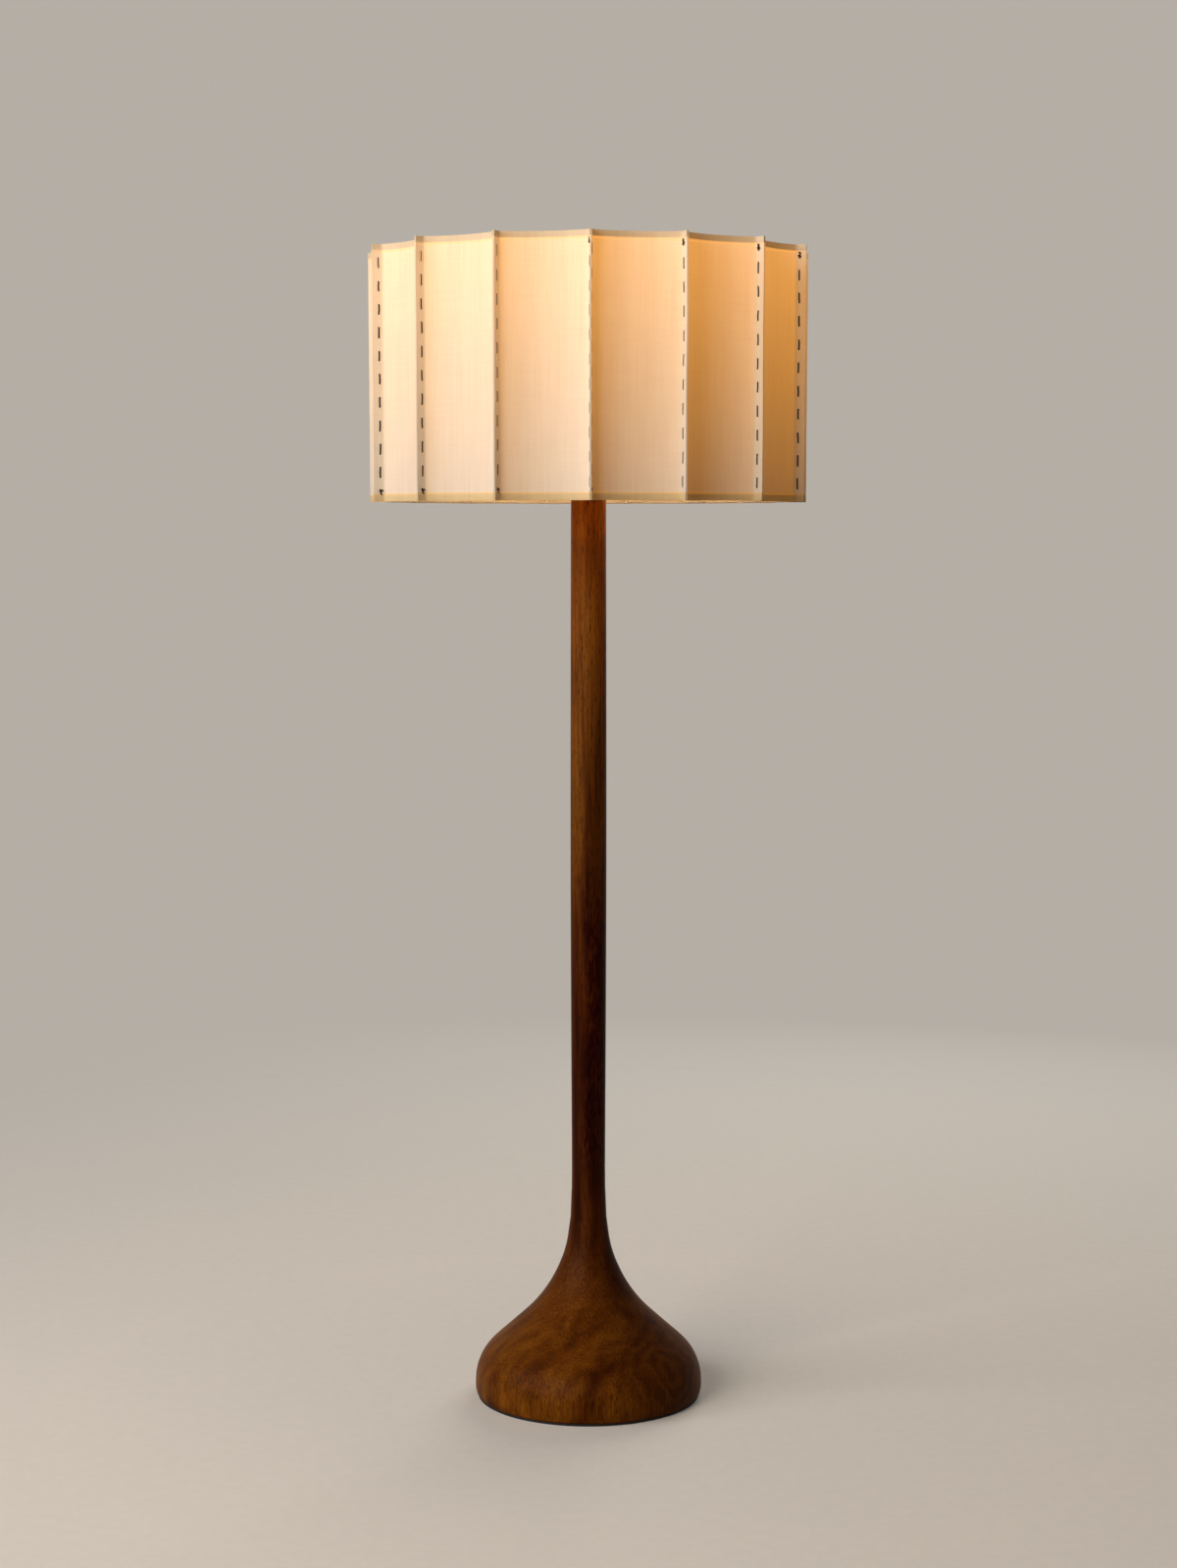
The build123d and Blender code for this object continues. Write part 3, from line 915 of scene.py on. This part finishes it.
@dataclass
class LightSource:
    """What carries and makes the light: screw lampholder, contact, bulb and shade nut."""

    sides: int = 96
    edge: float = 0.0008
    holder_bore: float = 0.005
    screw_bore: float = 0.0139
    neck_radius: float = 0.0199
    thread_pitch: float = 0.0024
    thread_depth: float = 0.0005
    thread_cuts: int = 6
    thread_start: float = 0.0025
    thread_end: float = 0.001
    cap_pitch: float = 0.0036
    cap_depth: float = 0.0007
    cap_cuts: int = 10
    cap_end: float = 0.003
    cap_radius: float = 0.0133
    tip_radius: float = 0.0048
    tip_height: float = 0.0024
    cap_height: float = 0.027
    cap_overlap: float = 0.002
    glass_step: float = 0.002
    nut_bore: float = 0.01995
    nut_ribs: int = 24
    nut_rib: float = 0.0006
    nut_rib_cuts: int = 8
    nut_land: float = 0.001
    same: float = 1e-6

    def __post_init__(self) -> None:
        """Read the levels that the frame gives."""
        self.holder_low, self.holder_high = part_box("lampholder")
        self.contact_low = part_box("centre_contact")[0]
        self.bulb_low, self.bulb_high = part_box("bulb")
        self.nut_low, self.nut_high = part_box("shade_nut")
        self.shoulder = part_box("shade_spider")[0].z

    def build(self) -> None:
        """Build the pieces and dress the contact that the frame already shows."""
        settle(self.holder(), Body.STAND, MOULDING, "lampholder")
        BRASS.dress(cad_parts["centre_contact"])
        settle(self.glass(), Body.BULB, FROSTED_GLASS, "bulb")
        settle(self.cap(), Body.BULB, CAP_METAL, "bulb")
        settle(self.nut(), Body.SHADE_NUT, MOULDING, "shade_nut")

    def holder(self) -> bpy.types.Object:
        """The lampholder: smooth skirt, shoulder, threaded neck and screw bore."""
        skirt, neck, bore = self.holder_high.x, self.neck_radius, self.screw_bore
        low, rim, floor = self.holder_low.z, self.holder_high.z, self.contact_low.z
        middle = (low + self.shoulder) / 2
        corners = [
            (skirt, middle), (skirt, self.shoulder), (neck, self.shoulder), (neck, rim), (bore, rim),
            (bore, floor), (self.holder_bore, floor), (self.holder_bore, low), (skirt, low), (skirt, middle),
        ]
        rounded = eased(corners, self.edge)
        outline = []
        for here, after in zip(rounded, rounded[1:]):
            rise = after[1] - here[1]
            threaded = here[0] == after[0] and self.shoulder < here[1] <= rim
            cuts = max(1, round(abs(rise) / (self.thread_pitch / self.thread_cuts))) if threaded else 1
            outline += [(here[0], here[1] + rise * (cut / cuts)) for cut in range(cuts)]
        outline.append(outline[0])

        def thread(angle: float, radius: float, height: float) -> float:
            """How deep the neck's outside thread cuts here."""
            on_neck = self.shoulder + self.thread_start < height < rim - self.thread_end
            if abs(radius - neck) > self.same or not on_neck:
                return 0.0
            return groove(angle, height, self.thread_pitch, self.thread_depth)

        return lathe("screw_lampholder", outline, self.sides, thread)

    def glass(self) -> bpy.types.Object:
        """The frosted tube of the bulb, with a domed end and a drawn-in neck."""
        radius = self.bulb_high.x
        low = self.bulb_low.z + self.cap_height - self.cap_overlap
        top = self.bulb_high.z
        neck = ((0.0119, low), (0.0125, low + 0.004), (radius - 0.0008, low + 0.012))
        tube = ((radius, low + 0.022), (radius, top - 0.02), (radius - 0.002, top - 0.009))
        dome = ((radius * 0.62, top - 0.0018), (0.0, top))
        shape = [Vector(point) for point in (*neck, *tube, *dome)]
        walked = [(max(place.x, 0.0), place.y) for place in spline(shape, self.glass_step)]
        walked[-1] = (0.0, top)
        return lathe("bulb_tube", [(0.0, low), *walked], self.sides)

    def cap(self) -> bpy.types.Object:
        """The rolled screw cap of the bulb, with its insulating ring and centre tip."""
        low, outer = self.bulb_low.z, self.cap_radius
        shell, rim = low + self.tip_height, low + self.cap_height
        rows = round((rim - shell) / (self.cap_pitch / self.cap_cuts))
        tip_radius = self.tip_radius
        tip = [(0.0, low), (tip_radius * 0.8, low), (tip_radius, low + 0.001), (tip_radius, shell)]
        wall = [(outer, shell + (rim - shell) * row / rows) for row in range(1, rows)]
        end = [(outer, rim), (outer - 0.0012, rim), (0.0, rim)]

        def thread(angle: float, radius: float, height: float) -> float:
            """How deep the rolled thread dips here."""
            if abs(radius - outer) > self.same or height > rim - self.cap_end:
                return 0.0
            return groove(angle, height, self.cap_pitch, self.cap_depth)

        outline = [*tip, (outer - 0.002, shell + 0.0008), *wall, *end]
        return lathe("bulb_screw_cap", outline, self.sides, thread)

    def nut(self) -> bpy.types.Object:
        """The ribbed ring that clamps the shade's spider on the lampholder."""
        outer, bore = self.nut_high.x - self.nut_rib, self.nut_bore
        low, high = self.nut_low.z, self.nut_high.z
        middle = (low + high) / 2
        corners = [(outer, middle), (outer, high), (bore, high), (bore, low), (outer, low), (outer, middle)]

        def rib(angle: float, radius: float, height: float) -> float:
            """How far the grip ribs stand out here."""
            return self.nut_rib * math.cos(self.nut_ribs * angle) if radius > outer - self.nut_land else 0.0

        sides = self.nut_ribs * self.nut_rib_cuts
        return lathe("ribbed_shade_nut", eased(corners, self.edge), sides, rib)


@dataclass(frozen=True)
class Spot:
    """Where a point of a panel is: its panel, its column of all columns, and its height."""

    panel: int
    column: int
    width: int
    height: float

    @property
    def edge(self) -> int:
        """How many columns lie between the point and the nearer cut edge."""
        return min(self.column, self.width - 1 - self.column)


@dataclass
class LacedShade:
    """The shade: fifteen hemmed parchment panels laced at their flanges, on strips and struts."""

    panels: int = 15
    first_seam: float = 0.5
    tip: float = 0.293
    root: float = 0.28
    middle: float = 0.262
    bottom_ratio: float = 0.9885
    sheet: float = 0.001
    sheet_sharp: float = 50.0
    seam_gap: float = 0.0001
    flange_shares: tuple[float, ...] = (0.06, 0.36, 0.68)
    fold: float = 0.0022
    fold_cuts: int = 4
    arc_cuts: int = 26
    flange_columns: int = 7
    tip_columns: int = 2
    fin_fades: Span = (5, 8)
    belly_starts: Span = (7, 13)
    wander_fades: Span = (8, 14)
    wander: float = 0.0007
    tip_wander: float = 0.35
    belly_wide: float = 0.0011
    belly_fine: float = 0.00035
    hem: float = 0.0102
    hem_thick: float = 0.00045
    hem_step: float = 0.0003
    hem_clear: float = 0.002
    # Painted highlight: how much brighter the glow is along the hem's inner edge.
    hem_highlight: float = 1.1
    rim_thin: float = 0.45
    rim_step: float = 0.0006
    line_step: float = 0.0004
    shaded_top: float = 0.32
    shaded_bottom: float = 0.5
    strip_high: float = 0.008
    strip_thick: float = 0.0015
    strip_depth: float = 0.0013
    thread: float = 0.00112
    lace_flat: float = 0.22
    lace_sides: int = 8
    lace_step: float = 0.0007
    lace_end: float = 0.55
    lace_sharp: float = 60.0
    lace_inset: float = 0.0083
    first_hole: float = 0.017
    stitch: float = 0.0149
    holes: int = 21
    hole_slope: float = 0.0016
    hole_path: tuple[Point, ...] = ((1.0, 1.0), (0.62, 0.3), (-0.62, -0.3), (-1.0, -1.0))
    hole_shift: float = 0.0006
    inset_shift: float = 0.0004
    bow: float = 0.0002
    bow_shift: float = 0.0003
    tail: float = 0.006
    upper_tail: tuple[Triple, ...] = (
        (-0.0012, -0.0012, 1.0), (0.001, -0.0016, 0.72), (-0.0006, -0.0004, 0.3),
    )
    lower_tail: tuple[Triple, ...] = ((0.0004, 0.0005, -0.4), (-0.001, 0.0012, -0.9))
    knot_size: float = 0.65
    knot_cuts: int = 36

    def __post_init__(self) -> None:
        """Read the levels that the frame gives."""
        low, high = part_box("shade_panel_01")
        self.low, self.high = low.z, high.z
        self.half = math.pi / self.panels
        self.along = Vector((math.cos(self.half), math.sin(self.half)))
        self.inward = Vector((math.sin(self.half), -math.cos(self.half)))
        self.strips = {Rim.TOP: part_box("shade_top_strip"), Rim.BOTTOM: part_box("shade_bottom_strip")}

    def build(self) -> None:
        """Build panels, lacings and rim strips, and dress the struts and the spider of the frame."""
        for number in range(self.panels):
            self.panel(number)
        for seam in range(self.panels):
            node = f"seam_lacing_{seam + 1:02d}"
            settle(self.lacing(seam), Body.SHADE, LACE, node)
        for rim, node in ((Rim.TOP, "shade_top_strip"), (Rim.BOTTOM, "shade_bottom_strip")):
            settle(self.strip(rim), Body.SHADE, FRAME_PAINT, node)
        for node in ("shade_struts", "shade_spider"):
            FRAME_PAINT.dress(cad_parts[node])

    def seam_angle(self, seam: float) -> float:
        """Direction of a seam in radians, counted from the front towards the lamp's right."""
        return seam * 2 * self.half + math.radians(self.first_seam - 90)

    def ratio(self, height: float) -> float:
        """How large the plan is at a height, against the top."""
        share = (height - self.low) / (self.high - self.low)
        return self.bottom_ratio + (1 - self.bottom_ratio) * share

    def seam_drift(self, seam: int, height: float) -> float:
        """How far a seam wanders sideways at a height, the same for both of its sheets."""
        place = Vector((seam % self.panels * 3.7, height * 9.0, SEED))
        return self.wander * noise.noise(place)

    def tip_drift(self, seam: int, height: float) -> float:
        """How uneven the cut edge of a seam is at a height."""
        place = Vector((seam % self.panels * 5.3, height * 22.0, SEED * 2))
        return self.tip_wander * self.wander * noise.noise(place)

    def plan(self, ratio: float, depth: float) -> list[Vector]:
        """The line of a sheet or strip across one panel, in the panel's own plan.

        Args:
            ratio: How large the plan is.
            depth: How deep the line lies behind the panel's outer face, between the flanges.

        Returns:
            Points from the tip on the left seam, seen from inside, to the tip on the other.
        """
        offset = self.seam_gap + self.sheet / 2
        root = self.along * (self.root * ratio) + self.inward * (self.seam_gap + self.sheet)
        middle = self.middle * ratio
        centre = (root.length_squared - middle**2) / (2 * (root.x - middle))
        radius = centre - middle + depth
        across = offset - centre * self.inward.x
        reach = centre * self.along.x - math.sqrt(radius**2 - across**2)
        corner = self.along * reach + self.inward * offset
        tip = self.along * (self.tip * ratio) + self.inward * offset
        start = corner + self.along * self.fold
        turn = math.atan2(corner.y, centre - corner.x)
        bend = turn - self.fold / radius
        end = Vector((centre - radius * math.cos(bend), radius * math.sin(bend)))
        line = [tip, *[tip.lerp(start, share) for share in self.flange_shares]]
        for cut in range(self.fold_cuts + 1):
            share = cut / self.fold_cuts
            line.append(start * (1 - share) ** 2 + corner * (2 * share * (1 - share)) + end * share**2)
        for cut in range(1, self.arc_cuts // 2 + 1):
            angle = bend * (1 - 2 * cut / self.arc_cuts)
            line.append(Vector((centre - radius * math.cos(angle), radius * math.sin(angle))))
        return [*line, *[Vector((place.x, -place.y)) for place in reversed(line[:-1])]]

    def rim_rows(self, rim: float, inwards: float, dim: float) -> list[Triple]:
        """The rows of one hem.

        Args:
            rim: The rim's height.
            inwards: 1.0 if the panel lies above the rim, or -1.0 if it lies below.
            dim: The share of light that passes the strip behind the hem.

        Returns:
            The rows as in rows(), from the rim inwards.
        """
        steps = [
            (0.0, self.rim_thin, dim),
            (self.rim_step, 1.0, dim),
            (self.strip_high - self.rim_step, 1.0, dim),
            # Painted highlight: a thin brighter line of glow along the hem's inner edge.
            (self.strip_high + self.line_step, 1.0, self.hem_highlight),
            (self.hem, 1.0, self.hem_highlight),
            (self.hem + self.hem_step, 0.0, 1.0),
        ]
        return [(rim + inwards * depth, thick, lit) for depth, thick, lit in steps]

    def rows(self) -> list[Triple]:
        """Heights of the panel's rows, with their shares of a hem's thickness and of the light let through.

        Returns:
            The rows: both hems, and between them one row at each hole and midway between holes.
        """
        first = self.high - self.first_hole
        plain = [first - step * self.stitch / 2 for step in range(2 * self.holes - 1)]
        margin = self.hem + self.hem_clear
        inner = [(height, 0.0, 1.0) for height in plain if self.low + margin < height < self.high - margin]
        top = self.rim_rows(self.high, -1.0, self.shaded_top)
        return [*top, *inner, *reversed(self.rim_rows(self.low, 1.0, self.shaded_bottom))]

    def panel(self, number: int) -> None:
        """Build one panel with its hems and put it on the shade.

        Args:
            number: Which panel, counted from the front towards the lamp's right.
        """
        rows = self.rows()
        turn = Matrix.Rotation(self.seam_angle(number + 0.5), 2)
        outer: list[Vector] = []
        inner: list[Vector] = []
        glow_shares: list[float] = []
        fins: list[float] = []
        flats: list[Point] = []
        width = 0
        for height, hem, lit in rows:
            line = self.plan(self.ratio(height), self.sheet / 2)
            width = len(line)
            crossed = 0.0
            for column, place in enumerate(line):
                spot = Spot(number, column, width, height)
                before = line[max(column - 1, 0)]
                after = line[min(column + 1, width - 1)]
                heading = (after - before).normalized()
                outwards = Vector((-heading.y, heading.x))
                crossed += (place - before).length
                here = place + outwards * self.belly(spot)
                step = outwards * (self.sheet / 2)
                out = here + step + outwards * (self.hem_thick * hem)
                outer.append(self.placed(spot, turn @ out))
                inner.append(self.placed(spot, turn @ (here - step)))
                # Share of painted glow: dimmed behind the strip, brighter along the hem's painted highlight.
                glow_shares.append(lit)
                fins.append(1.0 - ramped(spot.edge, *self.fin_fades))
                flats.append((crossed, height))
        piece = self.sheet_piece(f"parchment_panel_{number + 1:02d}", outer, inner, len(rows), width)
        self.mark(piece, rows, width, {"painted_glow_share": glow_shares, "fin": fins}, flats)
        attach(piece, Body.SHADE.value)
        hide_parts(f"shade_panel_{number + 1:02d}")
        LOG.info("%s rides on %s", piece.name, Body.SHADE.value)

    def belly(self, spot: Spot) -> float:
        """How far the sheet stands out between its seams and rims.

        Args:
            spot: Where the point is.

        Returns:
            The distance outwards.
        """
        up = ramped(spot.height, self.low, self.high)
        calm = math.sin(math.pi * up) ** 0.6 * ramped(spot.edge, *self.belly_starts)
        seed = Vector((spot.panel * 4.1 + spot.column / spot.width * 1.6, spot.height * 5.5, SEED * 3))
        return calm * (self.belly_wide * noise.noise(seed) + self.belly_fine * noise.noise(seed * 3.1))

    def placed(self, spot: Spot, place: Vector) -> Vector:
        """Move a point of a panel with the wander of its seam.

        Args:
            spot: Where the point is.
            place: The point in the lamp's plan.

        Returns:
            The point in the lamp's frame.
        """
        seam = spot.panel + 1 if spot.column < spot.width / 2 else spot.panel
        angle = self.seam_angle(seam)
        held = 1.0 - ramped(spot.edge, *self.wander_fades)
        moved = place + facing(angle + math.pi / 2) * (self.seam_drift(seam, spot.height) * held)
        if spot.edge < self.tip_columns:
            moved += facing(angle) * self.tip_drift(seam, spot.height)
        return Vector((moved.x, moved.y, spot.height))

    def sheet_piece(
        self, name: str, outer: list[Vector], inner: list[Vector], tall: int, wide: int
    ) -> bpy.types.Object:
        """Join an outer and an inner grid of points into one closed sheet.

        Args:
            name: The piece's name.
            outer: The outer face's points, row by row from the top.
            inner: The inner face's points in the same order.
            tall: How many rows there are.
            wide: How many columns there are.

        Returns:
            The closed sheet.
        """
        count = len(outer)
        faces = []
        for row in range(tall - 1):
            for column in range(wide - 1):
                a = row * wide + column
                b, c, d = a + 1, a + wide + 1, a + wide
                faces.append((a, b, c, d))
                faces.append((count + a, count + d, count + c, count + b))
        last = (tall - 1) * wide
        rims = []
        for column in range(wide - 1):
            rims += [(start + column, start + column + 1, start == 0) for start in (0, last)]
        for row in range(0, last, wide):
            rims += [(row + side, row + side + wide, side > 0) for side in (0, wide - 1)]
        for a, b, flip in rims:
            rim = (a, b, count + b, count + a)
            faces.append(rim[::-1] if flip else rim)
        return new_piece(name, [*outer, *inner], faces, self.sheet_sharp)

    def mark(
        self,
        piece: bpy.types.Object,
        rows: list[Triple],
        wide: int,
        shares: dict[str, list[float]],
        flats: list[Point],
    ) -> None:
        """Give a panel its finishes, its place on the flat sheet and how much painted glow shows.

        Args:
            piece: The panel.
            rows: Heights of its rows with their shares of hem and of light.
            wide: How many columns it has.
            shares: How much painted glow shows and what is flange, at each outer point.
            flats: Each outer point's place on the flat sheet.
        """
        mesh = piece.data
        count = len(flats)
        for finish in (PARCHMENT, HEM_TAPE, INNER_PARCHMENT):
            mesh.materials.append(finish.material())
        for name, values in shares.items():
            layer = mesh.attributes.new(name, "FLOAT", "POINT")
            layer.data.foreach_set("value", [*values, *values])
        layer = mesh.uv_layers.new(name="sheet")
        for loop in mesh.loops:
            layer.data[loop.index].uv = flats[loop.vertex_index % count]
        for face in mesh.polygons:
            row = min(corner % count for corner in face.vertices) // wide
            inside = all(corner >= count for corner in face.vertices)
            hemmed = rows[row][1] > 0.0 and rows[min(row + 1, len(rows) - 1)][1] > 0.0
            face.material_index = 2 if inside else int(hemmed)

    def strip(self, rim: Rim) -> bpy.types.Object:
        """The steel strip behind a rim, bent to follow every panel.

        Args:
            rim: Which rim.

        Returns:
            The strip.
        """
        box_low, box_high = self.strips[rim]
        low, high = box_low.z, box_high.z
        ratio = 1.0 if rim is Rim.TOP else self.bottom_ratio
        flange = self.flange_columns
        rings: list[list[Vector]] = []
        for depth in (self.strip_depth, self.strip_depth + self.strip_thick):
            ring = []
            for number in reversed(range(self.panels)):
                turn = Matrix.Rotation(self.seam_angle(number + 0.5), 2)
                line = self.plan(ratio, depth)
                ring += [turn @ place for place in line[flange:-flange]]
            rings.append(ring)
        outline = [(0, low), (0, high), (1, high), (1, low)]
        size = len(rings[0])
        points = [Vector((*rings[side][index], level)) for side, level in outline for index in range(size)]
        faces = []
        for corner in range(4):
            after = (corner + 1) % 4
            for index in range(size):
                other = (index + 1) % size
                faces.append(
                    (corner * size + index, after * size + index, after * size + other, corner * size + other)
                )
        return new_piece(f"frame_strip_{rim.value}", points, faces)

    def lace_line(self, seam: int) -> list[Vector]:
        """The thread's centre line through one seam, from the upper knot to the lower one.

        Args:
            seam: Which seam.

        Returns:
            Points in the seam's own plane: out from the axis, to one side, and up.
        """
        shuffle = random.Random(SEED + seam)
        side = self.seam_gap + self.sheet + self.thread * self.lace_flat
        slope = self.hole_slope
        points = []
        for hole in range(self.holes):
            level = self.high - self.first_hole - hole * self.stitch
            height = level + shuffle.uniform(-self.hole_shift, self.hole_shift)
            inset = self.lace_inset - shuffle.uniform(-self.inset_shift, self.inset_shift)
            out = self.tip * self.ratio(height) - inset
            arrive = -side if hole % 2 == 0 else side
            if hole:
                above = points[-1]
                bulge = arrive + math.copysign(shuffle.uniform(0.0, self.bow), arrive)
                drift = shuffle.uniform(-self.bow_shift, self.bow_shift)
                points.append(Vector(((above.x + out) / 2 + drift, bulge, (above.z + height) / 2)))
            for aside, rise in self.hole_path:
                points.append(Vector((out, arrive * aside, height + slope * rise)))
        ends = []
        for place, tail in ((points[0], self.upper_tail), (points[-1], self.lower_tail)):
            ends.append([place + Vector((out, aside, self.tail * rise)) for out, aside, rise in tail])
        return [*ends[0], *points, *ends[1]]

    def knot(self, middle: Vector) -> list[Vector]:
        """A small overhand knot about a point of the thread.

        Args:
            middle: Where the knot sits.

        Returns:
            The knot's closed line.
        """
        size = self.thread * self.knot_size
        line = []
        for cut in range(self.knot_cuts + 1):
            angle = 2 * math.pi * cut / self.knot_cuts
            out = size * (math.sin(angle) + 2 * math.sin(2 * angle))
            rise = size * (math.cos(angle) - 2 * math.cos(2 * angle))
            line.append(middle + Vector((out, -size * 1.1 * math.sin(3 * angle), rise)))
        return line

    def twine(self, path: list[Vector], size: float) -> tuple[list[Vector], list[Face]]:
        """Sweep the flat oval of the waxed lace along a line, lying flat on the flange.

        Args:
            path: The line.
            size: The lace's half width.

        Returns:
            The tube's points and faces.
        """
        sides = self.lace_sides
        points = []
        up = Vector((1.0, 0.0, 0.0))
        for index, here in enumerate(path):
            before = path[max(index - 1, 0)]
            after = path[min(index + 1, len(path) - 1)]
            heading = (after - before).normalized()
            up = (up - heading * up.dot(heading)).normalized()
            across = heading.cross(up)
            half = size * (self.lace_end if index in (0, len(path) - 1) else 1.0)
            for side in range(sides):
                angle = 2 * math.pi * side / sides
                thin = math.sin(angle) * half * self.lace_flat
                points.append(here + up * (math.cos(angle) * half) + across * thin)
        rings = [list(range(start, start + sides)) for start in range(0, len(points), sides)]
        return points, [tuple(reversed(rings[0])), *joined(rings), tuple(rings[-1])]

    def lacing(self, seam: int) -> bpy.types.Object:
        """The thread of one seam with its two knots.

        Args:
            seam: Which seam.

        Returns:
            The thread.
        """
        route = self.lace_line(seam)
        upper, lower = route[len(self.upper_tail)], route[-1 - len(self.lower_tail)]
        runs = [spline(route, self.lace_step), self.knot(upper), self.knot(lower)]
        points: list[Vector] = []
        faces: list[Face] = []
        for run in runs:
            made, sides = self.twine(run, self.thread)
            faces += [tuple(corner + len(points) for corner in face) for face in sides]
            points += made
        angle = self.seam_angle(seam)
        placed = []
        for place in points:
            aside = facing(angle + math.pi / 2) * (place.y + self.seam_drift(seam, place.z))
            placed.append(Vector((*(facing(angle) * place.x + aside), place.z)))
        return new_piece(f"lace_{seam + 1:02d}", placed, faces, self.lace_sharp)


@dataclass(frozen=True)
class SoftLamp:
    """A soft square lamp that is aimed at the middle of the object."""

    name: str
    place: Triple
    watts: float
    colour: Colour
    shines: bool = True
    size: float = 2.4
    aim: Triple = (0.0, 0.0, 0.85)

    def build(self) -> None:
        """Hang the lamp, aim it, and hide it from gloss if it isn't to shine there."""
        light = bpy.data.lights.new(self.name, "AREA")
        light.size = self.size
        light.energy = self.watts
        light.color = self.colour
        lamp = stand(self.name, light, self.place)
        lamp.rotation_euler = (Vector(self.aim) - Vector(self.place)).to_track_quat("-Z", "Y").to_euler()
        lamp.visible_glossy = self.shines


def stand(name: str, data: bpy.types.ID, place: Triple) -> bpy.types.Object:
    """Put a light or a camera in the scene.

    Args:
        name: Its name.
        data: The light or the camera.
        place: Where it stands.

    Returns:
        The new object.
    """
    made = bpy.data.objects.new(name, data)
    made.location = place
    bpy.context.scene.collection.objects.link(made)
    return made


@dataclass
class Studio:
    """The plain pale floor, the soft light and the camera at the photograph's angle."""

    lamps: tuple[SoftLamp, ...] = (
        SoftLamp("key", (-2.46, -3.51, 2.4), 110.0, (1.0, 0.92, 0.8)),
        SoftLamp("side", (-4.08, -1.33, 2.4), 70.0, (0.94, 0.95, 1.0)),
        SoftLamp("back", (1.2, 3.4, 1.9), 60.0, (1.0, 0.96, 0.9), shines=False),
    )
    floor_half: float = 9.0
    floor_fades: Span = (0.7, 2.9)
    floor_grain: Grain = Grain(60.0, detail=3.0)
    floor_colour: Colour = (0.93, 0.86, 0.78)
    floor_tint: float = 0.97
    floor_lift: Colour = (0.05, 0.05, 0.05)
    floor_bounce: Colour = (0.42, 0.36, 0.29)
    backdrop: Colour = (0.46, 0.425, 0.38)
    ambient: Colour = (1.0, 0.97, 0.93)
    ambient_strength: float = 0.035
    camera_distance: float = 3.7907
    camera_height: float = 1.1366
    lens: float = 66.24
    drop: float = -0.1636
    bulb_height: float = 1.335
    bulb_size: float = 0.018
    bulb_watts: float = 3.2
    bulb_colour: Colour = (1.0, 0.66, 0.34)

    def build(self) -> None:
        """Set up floor, world, lamps, camera and view."""
        self.floor()
        self.world()
        for lamp in self.lamps:
            lamp.build()
        self.bulb_light()
        self.camera()
        bpy.context.scene.view_settings.view_transform = "Standard"

    def floor(self) -> None:
        """A pale plane that keeps the shadow near the lamp and fades into the backdrop."""
        half = self.floor_half
        corners = [Vector((x * half, y * half, 0.0)) for x, y in ((-1, -1), (1, -1), (1, 1), (-1, 1))]
        piece = new_piece("floor", corners, [(0, 1, 2, 3)])
        graph = Graph(bpy.data.materials.new("floor"))
        place = graph.object_place()
        dark = tuple(self.floor_tint * part for part in self.floor_colour)
        grain = graph.cloud(place, self.floor_grain)
        inputs = {
            "Base Color": graph.ramp(grain, (0.3, dark), (0.7, self.floor_colour)),
            "Roughness": 0.75,
            "Specular IOR Level": 0.1,
            "Emission Color": self.floor_lift,
            "Emission Strength": 1.0,
        }
        near = graph.node("ShaderNodeBsdfPrincipled", inputs)
        bounce = graph.node("ShaderNodeBsdfDiffuse", {"Color": self.floor_bounce})
        solid = graph.node("ShaderNodeMixShader", {0: graph.seen(), 1: bounce.outputs[0], 2: near.outputs[0]})
        clear = graph.node("ShaderNodeBsdfTransparent", {})
        fade = graph.span(graph.length(place), *self.floor_fades)
        mixed = graph.node("ShaderNodeMixShader", {0: fade, 1: solid.outputs[0], 2: clear.outputs[0]})
        graph.node("ShaderNodeOutputMaterial", {"Surface": mixed.outputs[0]})
        piece.data.materials.append(graph.owner)

    def world(self) -> None:
        """Low even light, and a pale backdrop for the camera, for gloss and for glass."""
        graph = Graph(bpy.data.worlds.new("studio"))
        bpy.context.scene.world = graph.owner
        low = graph.node("ShaderNodeBackground", {"Color": self.ambient, "Strength": self.ambient_strength})
        pale = graph.node("ShaderNodeBackground", {"Color": self.backdrop})
        mixed = graph.node("ShaderNodeMixShader", {0: graph.seen(), 1: low.outputs[0], 2: pale.outputs[0]})
        graph.node("ShaderNodeOutputWorld", {"Surface": mixed.outputs[0]})

    def bulb_light(self) -> None:
        """The warm light of the bulb itself, which its frosted tube lets out."""
        light = bpy.data.lights.new("bulb_light", "POINT")
        light.energy = self.bulb_watts
        light.color = self.bulb_colour
        light.shadow_soft_size = self.bulb_size
        stand("bulb_light", light, (0.0, 0.0, self.bulb_height))
        bpy.data.objects["bulb_tube"].visible_shadow = False

    def camera(self) -> None:
        """A level camera in front of the lamp, framed as in the photograph."""
        data = bpy.data.cameras.new("camera")
        data.lens = self.lens
        data.shift_y = self.drop
        camera = stand("camera", data, (0.0, -self.camera_distance, self.camera_height))
        camera.rotation_euler = (math.radians(90), 0.0, 0.0)
        bpy.context.scene.camera = camera


def main() -> None:
    """Build the lamp's looks round the frame."""
    logging.basicConfig(level=logging.INFO, format="%(message)s")
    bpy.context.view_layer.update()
    TurnedStand().build()
    LightSource().build()
    LacedShade().build()
    Studio().build()


if __name__ == "__main__":
    main()
